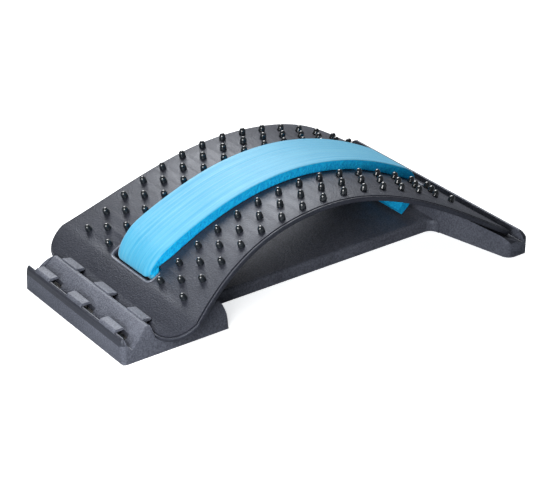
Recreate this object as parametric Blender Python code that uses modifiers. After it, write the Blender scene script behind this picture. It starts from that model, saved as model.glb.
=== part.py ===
# Back traction massager: a flexible hourglass plate, buckled into an arch on a low base.
# X runs along the object, from the level grooves (-X) to the far seat (+X); Z is up.
# The origin is the middle of the base's footprint, on the surface that it stands on.

import math

import bmesh
import bpy
from mathutils import Matrix, Vector

mm = 0.001

# Clearances
TOUCH_GAP = 0.3 * mm
SEAT_CLEARANCE = 0.35 * mm
HOOK_CLEARANCE = 0.5 * mm

# Arch plate
ARCH_LENGTH = 384.6 * mm
END_SLOPE = math.radians(33.4)
EDGE_HEIGHT = 17.7 * mm
PLATE_THICKNESS = 3.0 * mm
FLANGE_HEIGHT = 4.8 * mm
FLANGE_THICKNESS = 2.6 * mm
FLANGE_ROUND = 1.3 * mm
STEP_WIDTH = 1.7 * mm
STEP_DEPTH = 0.6 * mm
STEP_GROOVE_WIDTH = 0.6 * mm
STEP_GROOVE_DEPTH = 1.3 * mm
NEAR_HALF_WIDTH = 107 * mm
WAIST_HALF_WIDTH = 83.0 * mm
FAR_HALF_WIDTH = 117 * mm
FAR_EDGE_HALF_WIDTH = 111.5 * mm
NEAR_CORNER_RADIUS = 28 * mm
FAR_CORNER_RADIUS = 5 * mm
FAR_CORNER_TURN = 84
NEAR_SHOULDER = 28 * mm
PLATE_WAIST = 152 * mm
FAR_SHOULDER = 347 * mm
ARCH_STRIPS = 36

# Massage points
POINT_HEIGHT = 6.4 * mm
POINT_RADIUS = 3.1 * mm
STEM_RADIUS = 1.4 * mm
STEM_FIT = 0.35 * mm
WEB_THICKNESS = 1.0 * mm
WEB_WIDTH = 3.6 * mm
POINT_SIDES = 8
HOLE_SIDES = 6
POINT_ROWS = 15
ROW_PITCH = 21.34 * mm
INNER_COLUMN = 40.3 * mm
COLUMN_PITCH = 16.9 * mm
POINT_GRID_SHIFT = -4.4 * mm

# Foam pad and its slots
PAD_WIDTH = 55 * mm
PAD_THICKNESS = 9.8 * mm
PAD_NEAR_THICKNESS = 10.8 * mm
PAD_TAIL_THICKNESS = 8.4 * mm
PAD_SQUEEZE = 3.2 * mm
PAD_RIBS = 10
PAD_RIB_DEPTH = 0.3 * mm
PAD_EDGE_ROUND = 1.2 * mm
PAD_NEAR_ROUND = 6.0 * mm
NEAR_RISE = 28 * mm
FAR_DROP = 24 * mm
TAIL_RUN = 18 * mm
NEAR_TAIL_RADIUS = 6 * mm
NEAR_TAIL_TURN = math.radians(90)
FAR_TAIL_RADIUS = 9 * mm
FAR_TAIL_TURN = math.radians(50.5)
NEAR_SLOT_SET_IN = 33 * mm
FAR_SLOT_SET_IN = 40 * mm
SLOT_LENGTH = 15 * mm
SLOT_CORNER_RADIUS = 3.5 * mm
SLOT_SIDE_GAP = 1.0 * mm
SLOT_LIP_WIDTH = 1.2 * mm
SLOT_LIP_DEPTH = 0.9 * mm

# Base: near block with its level grooves
LEVEL_PITCH = 26 * mm
LEVELS = 3
ARCH_LEVEL = 1
NEAR_BLOCK_WIDTH = 160 * mm
SIDE_DRAFT = 1.3 * mm
SIDE_ROUND = 5.0 * mm
SIDE_ROUND_START = 17 * mm
RIM_SETBACK = 4.4 * mm
RIM_HEIGHT = 22.6 * mm
RIM_ROUND_START = 13 * mm
RIDGE_HEIGHT = 26.0 * mm
GROOVE_DEPTH_LEAN = 1.6 * mm
GROOVE_SEAT_RUN = 4.0 * mm
GROOVE_SEAT_SLOPE = math.radians(46)
GROOVE_FLOOR = 0.8 * mm
RAMP_BULGE = 0.35
RAMP_STEPS = 4
RIDGE_LAND = 2.8 * mm
LAST_LAND = 17 * mm
REAR_ROUND_RUN = 7 * mm
FRONT_CORNER_RADIUS = 4.5 * mm
SIDE_LIP_WIDTH = 1.4 * mm
SIDE_LIP_HEIGHT = 0.8 * mm
WALL = 2.4 * mm
RIB_THICKNESS = 2.0 * mm
RIB_PLACE = 26 * mm
CUT_TOP = 40 * mm

# Hooks and the windows under them
HOOKS_IN_ROW = 3
HOOK_WIDTH = 23.4 * mm
HOOK_SPACING = 52 * mm
HOOK_REACH = 6.9 * mm
HOOK_THICKNESS = 2.2 * mm
HOOK_TOP = 24.7 * mm
WINDOW_REACH = 11 * mm
WINDOW_SIDE_GAP = 0.4 * mm
WINDOW_START = 0.8 * mm

# Base: waist
WAIST_WIDTH = 84.6 * mm
WAIST_HEIGHT = 11 * mm
WAIST_ROUND = 3.6 * mm
WAIST_FILLET = 9 * mm
WAIST_BAYS = 4

# Base: far block
FAR_BLOCK_WIDTH = 250.8 * mm
FAR_BLOCK_DEPTH = 40 * mm
FAR_END_DEPTH = 22.2 * mm
SEAT_SLOPE = math.radians(25)
FAR_WALL_HEIGHT = 20.3 * mm
FAR_WALL_THICKNESS = 5.1 * mm
FAR_WALL_LEAN = 1.6 * mm
EDGE_TO_FAR_WALL = 3.1 * mm
FAR_WALL_END_RUN = 14 * mm
FAR_WALL_END_DROP = 7.5 * mm
FAR_WALL_END_TURN = 78
FAR_END_LEAN = 1.2 * mm
FAR_INNER_CORNER = 9 * mm
FAR_OUTER_CORNER = 4.5 * mm


# Arch line: a strip buckled between two stops, whose slope falls as a cosine along it
ARCH_STEPS = 960


def arch_slope(s):
    inside = min(max(s, 0.0), ARCH_LENGTH)
    return END_SLOPE * math.cos(math.pi * inside / ARCH_LENGTH)


def integrate_arch():
    step = ARCH_LENGTH / ARCH_STEPS
    line = [(0.0, 0.0)]
    for i in range(ARCH_STEPS):
        slope = arch_slope((i + 0.5) * step)
        x, z = line[-1]
        line.append((x + step * math.cos(slope), z + step * math.sin(slope)))
    return line


ARCH_LINE = integrate_arch()
CHORD = ARCH_LINE[-1][0]
BASE_FRONT = -CHORD / 2 - LEVEL_PITCH * ARCH_LEVEL - RIM_SETBACK
BASE_BACK = CHORD / 2 + EDGE_TO_FAR_WALL + FAR_WALL_THICKNESS
ARCH_CENTRE = -(BASE_FRONT + BASE_BACK) / 2
FRONT_X = BASE_FRONT + ARCH_CENTRE
BACK_X = BASE_BACK + ARCH_CENTRE
NEAR_EDGE_X = ARCH_CENTRE - CHORD / 2


def arch_point(s):
    place = min(max(s / ARCH_LENGTH, 0.0), 1.0) * ARCH_STEPS
    i = min(int(place), ARCH_STEPS - 1)
    part = place - i
    x = ARCH_LINE[i][0] * (1 - part) + ARCH_LINE[i + 1][0] * part
    z = ARCH_LINE[i][1] * (1 - part) + ARCH_LINE[i + 1][1] * part
    past = s - min(max(s, 0.0), ARCH_LENGTH)
    slope = arch_slope(s)
    x += past * math.cos(slope)
    z += past * math.sin(slope)
    return NEAR_EDGE_X + x, EDGE_HEIGHT + z


def on_arch(s, y, n):
    # s along the plate's top face from its near edge, n up from that face
    x, z = arch_point(s)
    slope = arch_slope(s)
    return Vector((x - n * math.sin(slope), y, z + n * math.cos(slope)))


# The plate turns about the middle of its far edge's flange when its near end is lifted
LIFT_AXIS = on_arch(ARCH_LENGTH - FLANGE_HEIGHT / 2, 0, -FLANGE_HEIGHT / 2)


# Scene helpers
def clear_scene():
    for thing in list(bpy.data.objects):
        bpy.data.objects.remove(thing, do_unlink=True)


def new_collection(name):
    collection = bpy.data.collections.new(name)
    bpy.context.scene.collection.children.link(collection)
    return collection


clear_scene()
PARTS = new_collection("back_traction_massager")
CUTTERS = new_collection("cutters")


def material(name, colour, roughness, coat=0.0):
    made = bpy.data.materials.new(name)
    made.use_nodes = True
    shader = made.node_tree.nodes["Principled BSDF"]
    shader.inputs["Base Color"].default_value = (*colour, 1)
    shader.inputs["Roughness"].default_value = roughness
    shader.inputs["Metallic"].default_value = 0.0
    shader.inputs["Coat Weight"].default_value = coat
    made.diffuse_color = (*colour, 1)
    return made


BASE_PLASTIC = material("base_plastic", (0.050, 0.049, 0.054), 0.55)
PLATE_PLASTIC = material("plate_plastic", (0.055, 0.053, 0.059), 0.50)
FOAM = material("foam", (0.060, 0.440, 0.860), 0.85)
POINT_RUBBER = material("point_rubber", (0.008, 0.009, 0.011), 0.18, coat=0.5)


def add_object(name, bm, collection, look=None):
    bmesh.ops.recalc_face_normals(bm, faces=bm.faces)
    mesh = bpy.data.meshes.new(name)
    bm.to_mesh(mesh)
    bm.free()
    made = bpy.data.objects.new(name, mesh)
    collection.objects.link(made)
    if look is not None:
        mesh.materials.append(look)
    return made


def add_cutter(name, bm):
    made = add_object(name, bm, CUTTERS)
    made.hide_render = True
    made.display_type = "WIRE"
    return made


def boolean(target, operation, tool):
    step = target.modifiers.new(tool.name, "BOOLEAN")
    step.operation = operation
    step.solver = "EXACT"
    step.object = tool


def prism(bm, outline, axis, low, high):
    # An outline of two coordinates, pushed along the third axis from low to high
    def corner(pair, depth):
        a, b = pair
        if axis == "X":
            return (depth, a, b)
        if axis == "Y":
            return (a, depth, b)
        return (a, b, depth)

    start = [bm.verts.new(corner(pair, low)) for pair in outline]
    face = bm.faces.new(start)
    pushed = bmesh.ops.extrude_face_region(bm, geom=[face])
    moved = [v for v in pushed["geom"] if isinstance(v, bmesh.types.BMVert)]
    shift = Vector(corner((0, 0), high - low))
    bmesh.ops.translate(bm, verts=moved, vec=shift)
    return start, moved


def loft(bm, rings):
    # Closed rings of equal count, joined in order and capped at both ends
    made = [[bm.verts.new(point) for point in ring] for ring in rings]
    count = len(made[0])
    for a, b in zip(made, made[1:]):
        for i in range(count):
            k = (i + 1) % count
            bm.faces.new((a[i], a[k], b[k], b[i]))
    bm.faces.new(list(reversed(made[0])))
    bm.faces.new(made[-1])


def arc(centre, radius, start, end, steps):
    points = []
    for i in range(steps + 1):
        turn = math.radians(start + (end - start) * i / steps)
        points.append((centre[0] + radius * math.cos(turn), centre[1] + radius * math.sin(turn)))
    return points


def rounded(corners, steps=4):
    # Each corner is (x, y, radius); a radius of 0 keeps it sharp
    points = []
    count = len(corners)
    for i, (x, y, radius) in enumerate(corners):
        here = Vector((x, y))
        before = (Vector(corners[i - 1][:2]) - here).normalized()
        after = (Vector(corners[(i + 1) % count][:2]) - here).normalized()
        if radius <= 0:
            points.append((x, y))
            continue
        half = before.angle(after) / 2
        back = radius / math.tan(half)
        centre = here + (before + after).normalized() * (radius / math.sin(half))
        first = here + before * back - centre
        last = here + after * back - centre
        turn = first.angle_signed(last)
        for k in range(steps + 1):
            spoke = first.copy()
            spoke.rotate(Matrix.Rotation(-turn * k / steps, 2))
            points.append(tuple(centre + spoke))
    return points


def box(bm, low, high):
    size = [high[i] - low[i] for i in range(3)]
    centre = [(high[i] + low[i]) / 2 for i in range(3)]
    place = Matrix.Translation(centre) @ Matrix.Diagonal((*size, 1))
    bmesh.ops.create_cube(bm, size=1, matrix=place)


# Base plate: level grooves
HOOK_PLACES = [(i - (HOOKS_IN_ROW - 1) / 2) * HOOK_SPACING for i in range(HOOKS_IN_ROW)]


def groove_face(level):
    edge = on_arch(0, 0, -STEP_DEPTH - 0.7 * FLANGE_ROUND)
    return edge.x - TOUCH_GAP + (level - ARCH_LEVEL) * LEVEL_PITCH


def groove_heights():
    # The seat slope passes just under the rounded lower corner of the plate's near flange
    corner = on_arch(FLANGE_ROUND, 0, FLANGE_ROUND - FLANGE_HEIGHT)
    normal = Vector((math.sin(GROOVE_SEAT_SLOPE), math.cos(GROOVE_SEAT_SLOPE)))
    offset = (corner.x - groove_face(ARCH_LEVEL)) * normal.x
    top = corner.z + (offset - FLANGE_ROUND - SEAT_CLEARANCE) / normal.y
    bottom = top - GROOVE_SEAT_RUN * math.tan(GROOVE_SEAT_SLOPE)
    return top, bottom


SEAT_TOP, GROOVE_BOTTOM = groove_heights()


def ramp(level, drop, steps):
    # From a groove's floor up to the next ridge, bulging a little
    start = groove_face(level) + GROOVE_SEAT_RUN + GROOVE_FLOOR
    end = groove_face(level + 1) - GROOVE_DEPTH_LEAN - RIDGE_LAND
    line = []
    for k in range(steps + 1):
        part = k / steps
        rise = (1 - RAMP_BULGE) * part + RAMP_BULGE * math.sin(math.pi / 2 * part)
        height = GROOVE_BOTTOM + (RIDGE_HEIGHT - GROOVE_BOTTOM) * rise
        line.append((start + (end - start) * part, height - drop))
    return line


def sawtooth(drop):
    # The near block's top line from the rim to its rear end, lowered by drop
    top = RIDGE_HEIGHT - drop
    line = []
    for level in range(LEVELS):
        face = groove_face(level)
        floor = face + GROOVE_SEAT_RUN
        line.append((face, SEAT_TOP - drop))
        line.append((floor, GROOVE_BOTTOM - drop))
        line += ramp(level, drop, RAMP_STEPS)
        if level + 1 < LEVELS:
            land = groove_face(level + 1) - GROOVE_DEPTH_LEAN
            line.append((land, top - 0.6 * mm))
    return line


LAST_RIDGE = groove_face(LEVELS) - GROOVE_DEPTH_LEAN - RIDGE_LAND
REAR_X = LAST_RIDGE + LAST_LAND + REAR_ROUND_RUN


def near_block_profile():
    # The front wall rolls back in a long round to the rim's inner edge
    run = groove_face(0) - GROOVE_DEPTH_LEAN - FRONT_X
    rise = RIM_HEIGHT - RIM_ROUND_START
    front = [(REAR_X, 0), (FRONT_X, 0)]
    for across, up in arc((0, 0), 1, 0, 90, 6):
        front.append((FRONT_X + run * (1 - across), RIM_ROUND_START + rise * up))
    rear_top = (REAR_X - REAR_ROUND_RUN, RIDGE_HEIGHT)
    rear = [
        rear_top,
        (REAR_X - 0.62 * REAR_ROUND_RUN, RIDGE_HEIGHT - 4 * mm),
        (REAR_X - 0.26 * REAR_ROUND_RUN, RIDGE_HEIGHT - 12.5 * mm),
        (REAR_X, 3.5 * mm),
    ]
    return front + sawtooth(0) + rear


def near_recess_profile():
    # Lowers the ramps between the two side lips
    inner_rim = groove_face(0) - GROOVE_DEPTH_LEAN
    start = [(REAR_X + WALL, CUT_TOP), (inner_rim, CUT_TOP), (inner_rim, RIM_HEIGHT - 2 * mm)]
    end = [(REAR_X + WALL, RIDGE_HEIGHT - SIDE_LIP_HEIGHT)]
    return start + sawtooth(SIDE_LIP_HEIGHT) + end


def near_hollow_profile():
    # The underside follows the teeth one wall below them
    below = -WALL
    line = [(REAR_X - 2 * WALL, below), (FRONT_X + WALL, below), (FRONT_X + WALL, SEAT_TOP - WALL)]
    for level in range(LEVELS):
        face = groove_face(level)
        floor = face + GROOVE_SEAT_RUN
        low = GROOVE_BOTTOM - SIDE_LIP_HEIGHT - WALL
        line.append((floor - 0.2 * WALL, low))
        line.append((floor + GROOVE_FLOOR + 0.5 * WALL, low))
        if level + 1 < LEVELS:
            crest = groove_face(level + 1) - GROOVE_DEPTH_LEAN - WALL
            line.append((crest, RIDGE_HEIGHT - 2 * WALL))
            line.append((crest + 0.4 * WALL, SEAT_TOP - 0.5 * WALL))
    line.append((LAST_RIDGE + 0.4 * WALL, RIDGE_HEIGHT - SIDE_LIP_HEIGHT - WALL))
    line.append((REAR_X - REAR_ROUND_RUN - WALL, RIDGE_HEIGHT - SIDE_LIP_HEIGHT - WALL))
    line.append((REAR_X - 0.26 * REAR_ROUND_RUN - 1.4 * WALL, RIDGE_HEIGHT - 13 * mm))
    return line


def near_plan(inset):
    half = NEAR_BLOCK_WIDTH / 2 - inset
    return rounded([
        (FRONT_X, -half, FRONT_CORNER_RADIUS),
        (REAR_X, -half, 3 * mm),
        (REAR_X, half, 3 * mm),
        (FRONT_X, half, FRONT_CORNER_RADIUS),
    ], 5)


def near_sides():
    # The side walls lean in a little, then roll in over the ridges' ends
    levels = [(-WALL, 0)]
    for down, up in arc((0, 0), 1, 0, 90, 3):
        height = SIDE_ROUND_START + (RIDGE_HEIGHT - SIDE_ROUND_START) * up
        levels.append((height, SIDE_DRAFT + SIDE_ROUND * (1 - down)))
    levels.append((RIDGE_HEIGHT + WALL, SIDE_DRAFT + SIDE_ROUND))
    return [[(x, y, z) for x, y in near_plan(inset)] for z, inset in levels]


def cells(half, ribs):
    # Spans between side walls and ribs, along Y
    edges = [-half + WALL] + [place for place in ribs] + [half - WALL]
    spans = []
    for i in range(len(edges) - 1):
        low = edges[i] + (RIB_THICKNESS / 2 if i > 0 else 0)
        high = edges[i + 1] - (RIB_THICKNESS / 2 if i + 2 < len(edges) else 0)
        spans.append((low, high))
    return spans


# Base plate: hooks
def hook_tip(face):
    tip = face + HOOK_REACH
    under = HOOK_TOP - HOOK_THICKNESS
    return [
        (tip - 1.4 * mm, HOOK_TOP - 0.2 * mm),
        (tip - 0.4 * mm, HOOK_TOP - 0.7 * mm),
        (tip, HOOK_TOP - 1.5 * mm),
        (tip - 0.3 * mm, under),
        (face - 0.5 * mm, under - 0.4 * mm),
    ]


def rim_hook_profile(face):
    under = HOOK_TOP - HOOK_THICKNESS
    root = [
        (face - 0.5 * mm, under - 2.6 * mm),
        (FRONT_X + 2.0 * mm, under - 2.6 * mm),
        (FRONT_X + 0.7 * mm, under - 1.2 * mm),
        (FRONT_X + 1.2 * mm, HOOK_TOP - 1.7 * mm),
        (FRONT_X + 2.4 * mm, HOOK_TOP - 0.5 * mm),
        (FRONT_X + 4.0 * mm, HOOK_TOP),
    ]
    return hook_tip(face) + root


def ridge_hook_profile(face):
    under = HOOK_TOP - HOOK_THICKNESS
    land = face - GROOVE_DEPTH_LEAN
    root = [
        (face - 0.5 * mm, under - 1.5 * mm),
        (land - RIDGE_LAND + 1.2 * mm, under - 1.5 * mm),
        (land - RIDGE_LAND + 0.5 * mm, RIDGE_HEIGHT - 1.4 * mm),
        (land - 1.2 * mm, RIDGE_HEIGHT + 0.3 * mm),
        (face + 0.6 * mm, RIDGE_HEIGHT - 0.4 * mm),
    ]
    return hook_tip(face) + root


# Base plate: far block
WALL_FOOT_X = BACK_X - FAR_WALL_THICKNESS
PIVOT_SWEEP = math.sqrt(2) * (FLANGE_HEIGHT / 2 - FLANGE_ROUND) + FLANGE_ROUND


def seat_height(x):
    # The sloping seat passes under the round that the turning far edge sweeps
    normal = Vector((math.sin(SEAT_SLOPE), math.cos(SEAT_SLOPE)))
    foot = Vector((LIFT_AXIS.x, LIFT_AXIS.z)) - normal * (PIVOT_SWEEP + TOUCH_GAP)
    return foot.y - (x - foot.x) * math.tan(SEAT_SLOPE)


def far_block_profile():
    start = BACK_X - FAR_BLOCK_DEPTH - 5 * mm
    top = FAR_WALL_HEIGHT
    inner = WALL_FOOT_X
    return [
        (start, 0),
        (BACK_X, 0),
        (BACK_X - 0.3 * FAR_WALL_LEAN, 0.5 * top),
        (BACK_X - FAR_WALL_LEAN, top - 2.5 * mm),
        (BACK_X - FAR_WALL_LEAN - 0.7 * mm, top - 0.8 * mm),
        (BACK_X - FAR_WALL_LEAN - 1.7 * mm, top),
        (inner + 0.8 * mm, top - 0.4 * mm),
        (inner + 0.2 * mm, top - 1.3 * mm),
        (inner, seat_height(inner)),
        (start, seat_height(start)),
    ]


def far_plan(inset):
    half = FAR_BLOCK_WIDTH / 2 - inset
    back = BACK_X - inset
    middle = BACK_X - FAR_BLOCK_DEPTH + inset
    end = BACK_X - FAR_END_DEPTH + inset
    bend = WAIST_WIDTH / 2 + WAIST_FILLET / 2
    inner = max(FAR_INNER_CORNER - inset, 1 * mm)
    outer = max(FAR_OUTER_CORNER - inset, 1 * mm)
    return rounded([
        (middle, -bend, FAR_INNER_CORNER),
        (end, -half, inner),
        (back, -half, outer),
        (back, half, outer),
        (end, half, inner),
        (middle, bend, FAR_INNER_CORNER),
    ], 4)


def far_elevation():
    # The block's ends lean in and the far wall's top falls away to them
    half = FAR_BLOCK_WIDTH / 2
    low = FAR_WALL_HEIGHT - FAR_WALL_END_DROP
    shoulder = half - FAR_END_LEAN - FAR_WALL_END_RUN
    right = [(half, 0)]
    for across, up in arc((0, 0), 1, 0, FAR_WALL_END_TURN, 5):
        right.append((shoulder + across * FAR_WALL_END_RUN, low + up * FAR_WALL_END_DROP))
    right += [(shoulder, FAR_WALL_HEIGHT + 0.3 * mm), (shoulder - 8 * mm, CUT_TOP)]
    left = [(-y, z) for y, z in reversed(right)]
    return left + right


def far_hollow_profile():
    start = BACK_X - FAR_BLOCK_DEPTH
    inner = WALL_FOOT_X
    return [
        (start, -WALL),
        (BACK_X, -WALL),
        (BACK_X, seat_height(inner) - WALL),
        (inner, seat_height(inner) - WALL),
        (start, seat_height(start) - 1.1 * WALL),
    ]


# Base plate: waist
def waist_half_width(x):
    # A quarter-round fillet flares the waist into each block
    half = WAIST_WIDTH / 2
    middle = BACK_X - FAR_BLOCK_DEPTH
    flare = 0
    for face, radius in ((REAR_X, WAIST_FILLET / 2), (middle, WAIST_FILLET)):
        away = min(abs(x - face) if REAR_X < x < middle else 0, radius)
        if abs(x - face) < radius:
            flare = radius - math.sqrt(radius ** 2 - (radius - away) ** 2)
    return half + flare


def waist_places():
    middle = BACK_X - FAR_BLOCK_DEPTH
    near = WAIST_FILLET / 2
    steps = 5
    rise = [1 - math.sin(math.pi / 2 * (1 - i / steps)) for i in range(steps + 1)]
    places = [REAR_X - WALL]
    places += [REAR_X + near * part for part in rise]
    places += [middle - WAIST_FILLET * part for part in reversed(rise)]
    return places + [middle + WALL]


def waist_section(x):
    half = waist_half_width(x)
    right = arc((half - WAIST_ROUND, WAIST_HEIGHT - WAIST_ROUND), WAIST_ROUND, 0, 90, 3)
    right = [(half, 0)] + right
    left = [(-y, z) for y, z in reversed(right)]
    return [(x, y, z) for y, z in right + left]


def build_base():
    half = NEAR_BLOCK_WIDTH / 2
    bm = bmesh.new()
    prism(bm, near_block_profile(), "Y", -half - WALL, half + WALL)
    base = add_object("base_plate", bm, PARTS, BASE_PLASTIC)

    bm = bmesh.new()
    loft(bm, near_sides())
    boolean(base, "INTERSECT", add_cutter("near_sides", bm))

    bm = bmesh.new()
    inner = half - SIDE_DRAFT - 0.5 * SIDE_ROUND - SIDE_LIP_WIDTH
    prism(bm, near_recess_profile(), "Y", -inner, inner)
    boolean(base, "DIFFERENCE", add_cutter("near_recess", bm))

    bm = bmesh.new()
    loft(bm, [waist_section(x) for x in waist_places()])
    boolean(base, "UNION", add_cutter("waist", bm))

    bm = bmesh.new()
    far_half = FAR_BLOCK_WIDTH / 2
    prism(bm, far_block_profile(), "Y", -far_half, far_half)
    far = add_cutter("far_block", bm)
    bm = bmesh.new()
    prism(bm, far_plan(0), "Z", -WALL, CUT_TOP)
    boolean(far, "INTERSECT", add_cutter("far_plan", bm))
    bm = bmesh.new()
    prism(bm, far_elevation(), "X", BACK_X - 2 * FAR_BLOCK_DEPTH, BACK_X + WALL)
    boolean(far, "INTERSECT", add_cutter("far_elevation", bm))
    boolean(base, "UNION", far)

    bm = bmesh.new()
    for low, high in cells(half - SIDE_DRAFT - 0.3 * SIDE_ROUND, [-RIB_PLACE, RIB_PLACE]):
        prism(bm, near_hollow_profile(), "Y", low, high)
    boolean(base, "DIFFERENCE", add_cutter("near_hollow", bm))

    bm = bmesh.new()
    waist_low = REAR_X + WALL
    waist_high = BACK_X - FAR_BLOCK_DEPTH - WALL
    bay = (waist_high - waist_low) / WAIST_BAYS
    waist_inner = WAIST_WIDTH / 2 - WALL
    for i in range(WAIST_BAYS):
        low = waist_low + i * bay + RIB_THICKNESS / 2
        high = waist_low + (i + 1) * bay - RIB_THICKNESS / 2
        box(bm, (low, -waist_inner, -WALL), (high, waist_inner, WAIST_HEIGHT - WALL))
    boolean(base, "DIFFERENCE", add_cutter("waist_hollow", bm))

    bm = bmesh.new()
    for low, high in cells(far_half, [-2 * RIB_PLACE, 0, 2 * RIB_PLACE]):
        prism(bm, far_hollow_profile(), "Y", low, high)
    hollow = add_cutter("far_hollow", bm)
    bm = bmesh.new()
    prism(bm, far_plan(WALL), "Z", -2 * WALL, CUT_TOP)
    boolean(hollow, "INTERSECT", add_cutter("far_hollow_plan", bm))
    boolean(base, "DIFFERENCE", hollow)

    bm = bmesh.new()
    for level in range(LEVELS):
        face = groove_face(level)
        for y in HOOK_PLACES:
            side = HOOK_WIDTH / 2 + WINDOW_SIDE_GAP
            low = (face + WINDOW_START, y - side, GROOVE_BOTTOM - 2.5 * WALL)
            high = (face + WINDOW_REACH, y + side, RIDGE_HEIGHT)
            box(bm, low, high)
    boolean(base, "DIFFERENCE", add_cutter("windows", bm))

    bm = bmesh.new()
    for level in range(LEVELS):
        face = groove_face(level)
        outline = rim_hook_profile(face) if level == 0 else ridge_hook_profile(face)
        for y in HOOK_PLACES:
            prism(bm, outline, "Y", y - HOOK_WIDTH / 2, y + HOOK_WIDTH / 2)
    boolean(base, "UNION", add_cutter("hooks", bm))
    return base


# Arch plate
def plate_half_width(s):
    # Near shoulder, waist and far shoulder, joined by powers that leave each one smoothly
    if s <= NEAR_SHOULDER:
        return NEAR_HALF_WIDTH
    if s <= PLATE_WAIST:
        left = (PLATE_WAIST - s) / (PLATE_WAIST - NEAR_SHOULDER)
        return WAIST_HALF_WIDTH + (NEAR_HALF_WIDTH - WAIST_HALF_WIDTH) * left ** 2.1
    if s <= FAR_SHOULDER:
        part = ((s - PLATE_WAIST) / (FAR_SHOULDER - PLATE_WAIST)) ** 1.6
        ease = part * part * (3 - 2 * part)
        return WAIST_HALF_WIDTH + (FAR_HALF_WIDTH - WAIST_HALF_WIDTH) * ease
    part = (s - FAR_SHOULDER) / (ARCH_LENGTH - FAR_SHOULDER)
    return FAR_HALF_WIDTH + (FAR_EDGE_HALF_WIDTH - FAR_HALF_WIDTH) * part * part


def plate_outline(inset):
    # The flat plate's outline, moved in from its edge; its side points lie on the strip lines
    radius = NEAR_CORNER_RADIUS
    centre = (radius, NEAR_HALF_WIDTH - radius)
    side = arc(centre, radius - inset, 180, 90, 7)
    strip = ARCH_LENGTH / ARCH_STRIPS
    last = ARCH_LENGTH - FAR_CORNER_RADIUS
    small = 0.01 * mm
    for i in range(1, ARCH_STRIPS):
        s = i * strip
        if radius + small < s < last - small:
            lean = (plate_half_width(s + small) - plate_half_width(s - small)) / (2 * small)
            side.append((s, plate_half_width(s) - inset * math.hypot(1, lean)))
    centre = (last, plate_half_width(last) - FAR_CORNER_RADIUS)
    side += arc(centre, FAR_CORNER_RADIUS - inset, FAR_CORNER_TURN, 0, 3)
    return side + [(s, -y) for s, y in reversed(side)]


def flange_section():
    # Distance in from the plate's edge and height above its top face
    step = STEP_WIDTH
    shoulder = step - STEP_GROOVE_WIDTH
    bend = 0.7 * FLANGE_ROUND
    return [
        (step, 0),
        (step, -STEP_GROOVE_DEPTH),
        (shoulder, -STEP_GROOVE_DEPTH),
        (shoulder, -STEP_DEPTH),
        (0.3 * bend, -STEP_DEPTH - 0.3 * bend),
        (0, -STEP_DEPTH - bend),
        (0, FLANGE_ROUND - FLANGE_HEIGHT),
        (FLANGE_ROUND - bend, FLANGE_ROUND - bend - FLANGE_HEIGHT),
        (FLANGE_ROUND, -FLANGE_HEIGHT),
        (FLANGE_THICKNESS, -FLANGE_HEIGHT),
        (FLANGE_THICKNESS, -PLATE_THICKNESS),
    ]


def cluster_places(number):
    # One insert: an inner and an outer point in line, and a middle one half a pitch further on
    span = ROW_PITCH * (POINT_ROWS - 1)
    s = (ARCH_LENGTH - span) / 2 + POINT_GRID_SHIFT + number * ROW_PITCH
    inner = (s, INNER_COLUMN)
    outer = (s, INNER_COLUMN + 2 * COLUMN_PITCH)
    if number + 1 == POINT_ROWS:
        return [inner, outer]
    return [inner, (s + ROW_PITCH / 2, INNER_COLUMN + COLUMN_PITCH), outer]


SLOT_STARTS = [NEAR_SLOT_SET_IN, ARCH_LENGTH - FAR_SLOT_SET_IN - SLOT_LENGTH]


def slot_plan(start, grow):
    half = PAD_WIDTH / 2 + SLOT_SIDE_GAP + grow
    radius = SLOT_CORNER_RADIUS + grow
    return rounded([
        (start - grow, -half, radius),
        (start + SLOT_LENGTH + grow, -half, radius),
        (start + SLOT_LENGTH + grow, half, radius),
        (start - grow, half, radius),
    ], 3)


def evaluated(thing):
    # The object's mesh with its modifiers applied, in triangles
    bpy.context.view_layer.update()
    graph = bpy.context.evaluated_depsgraph_get()
    mesh = bpy.data.meshes.new_from_object(thing.evaluated_get(graph))
    bm = bmesh.new()
    bm.from_mesh(mesh)
    bpy.data.meshes.remove(mesh)
    bmesh.ops.triangulate(bm, faces=bm.faces)
    return bm


def bend_to_arch(bm):
    for vert in bm.verts:
        s, y, n = vert.co
        vert.co = on_arch(s, y, n)


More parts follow.
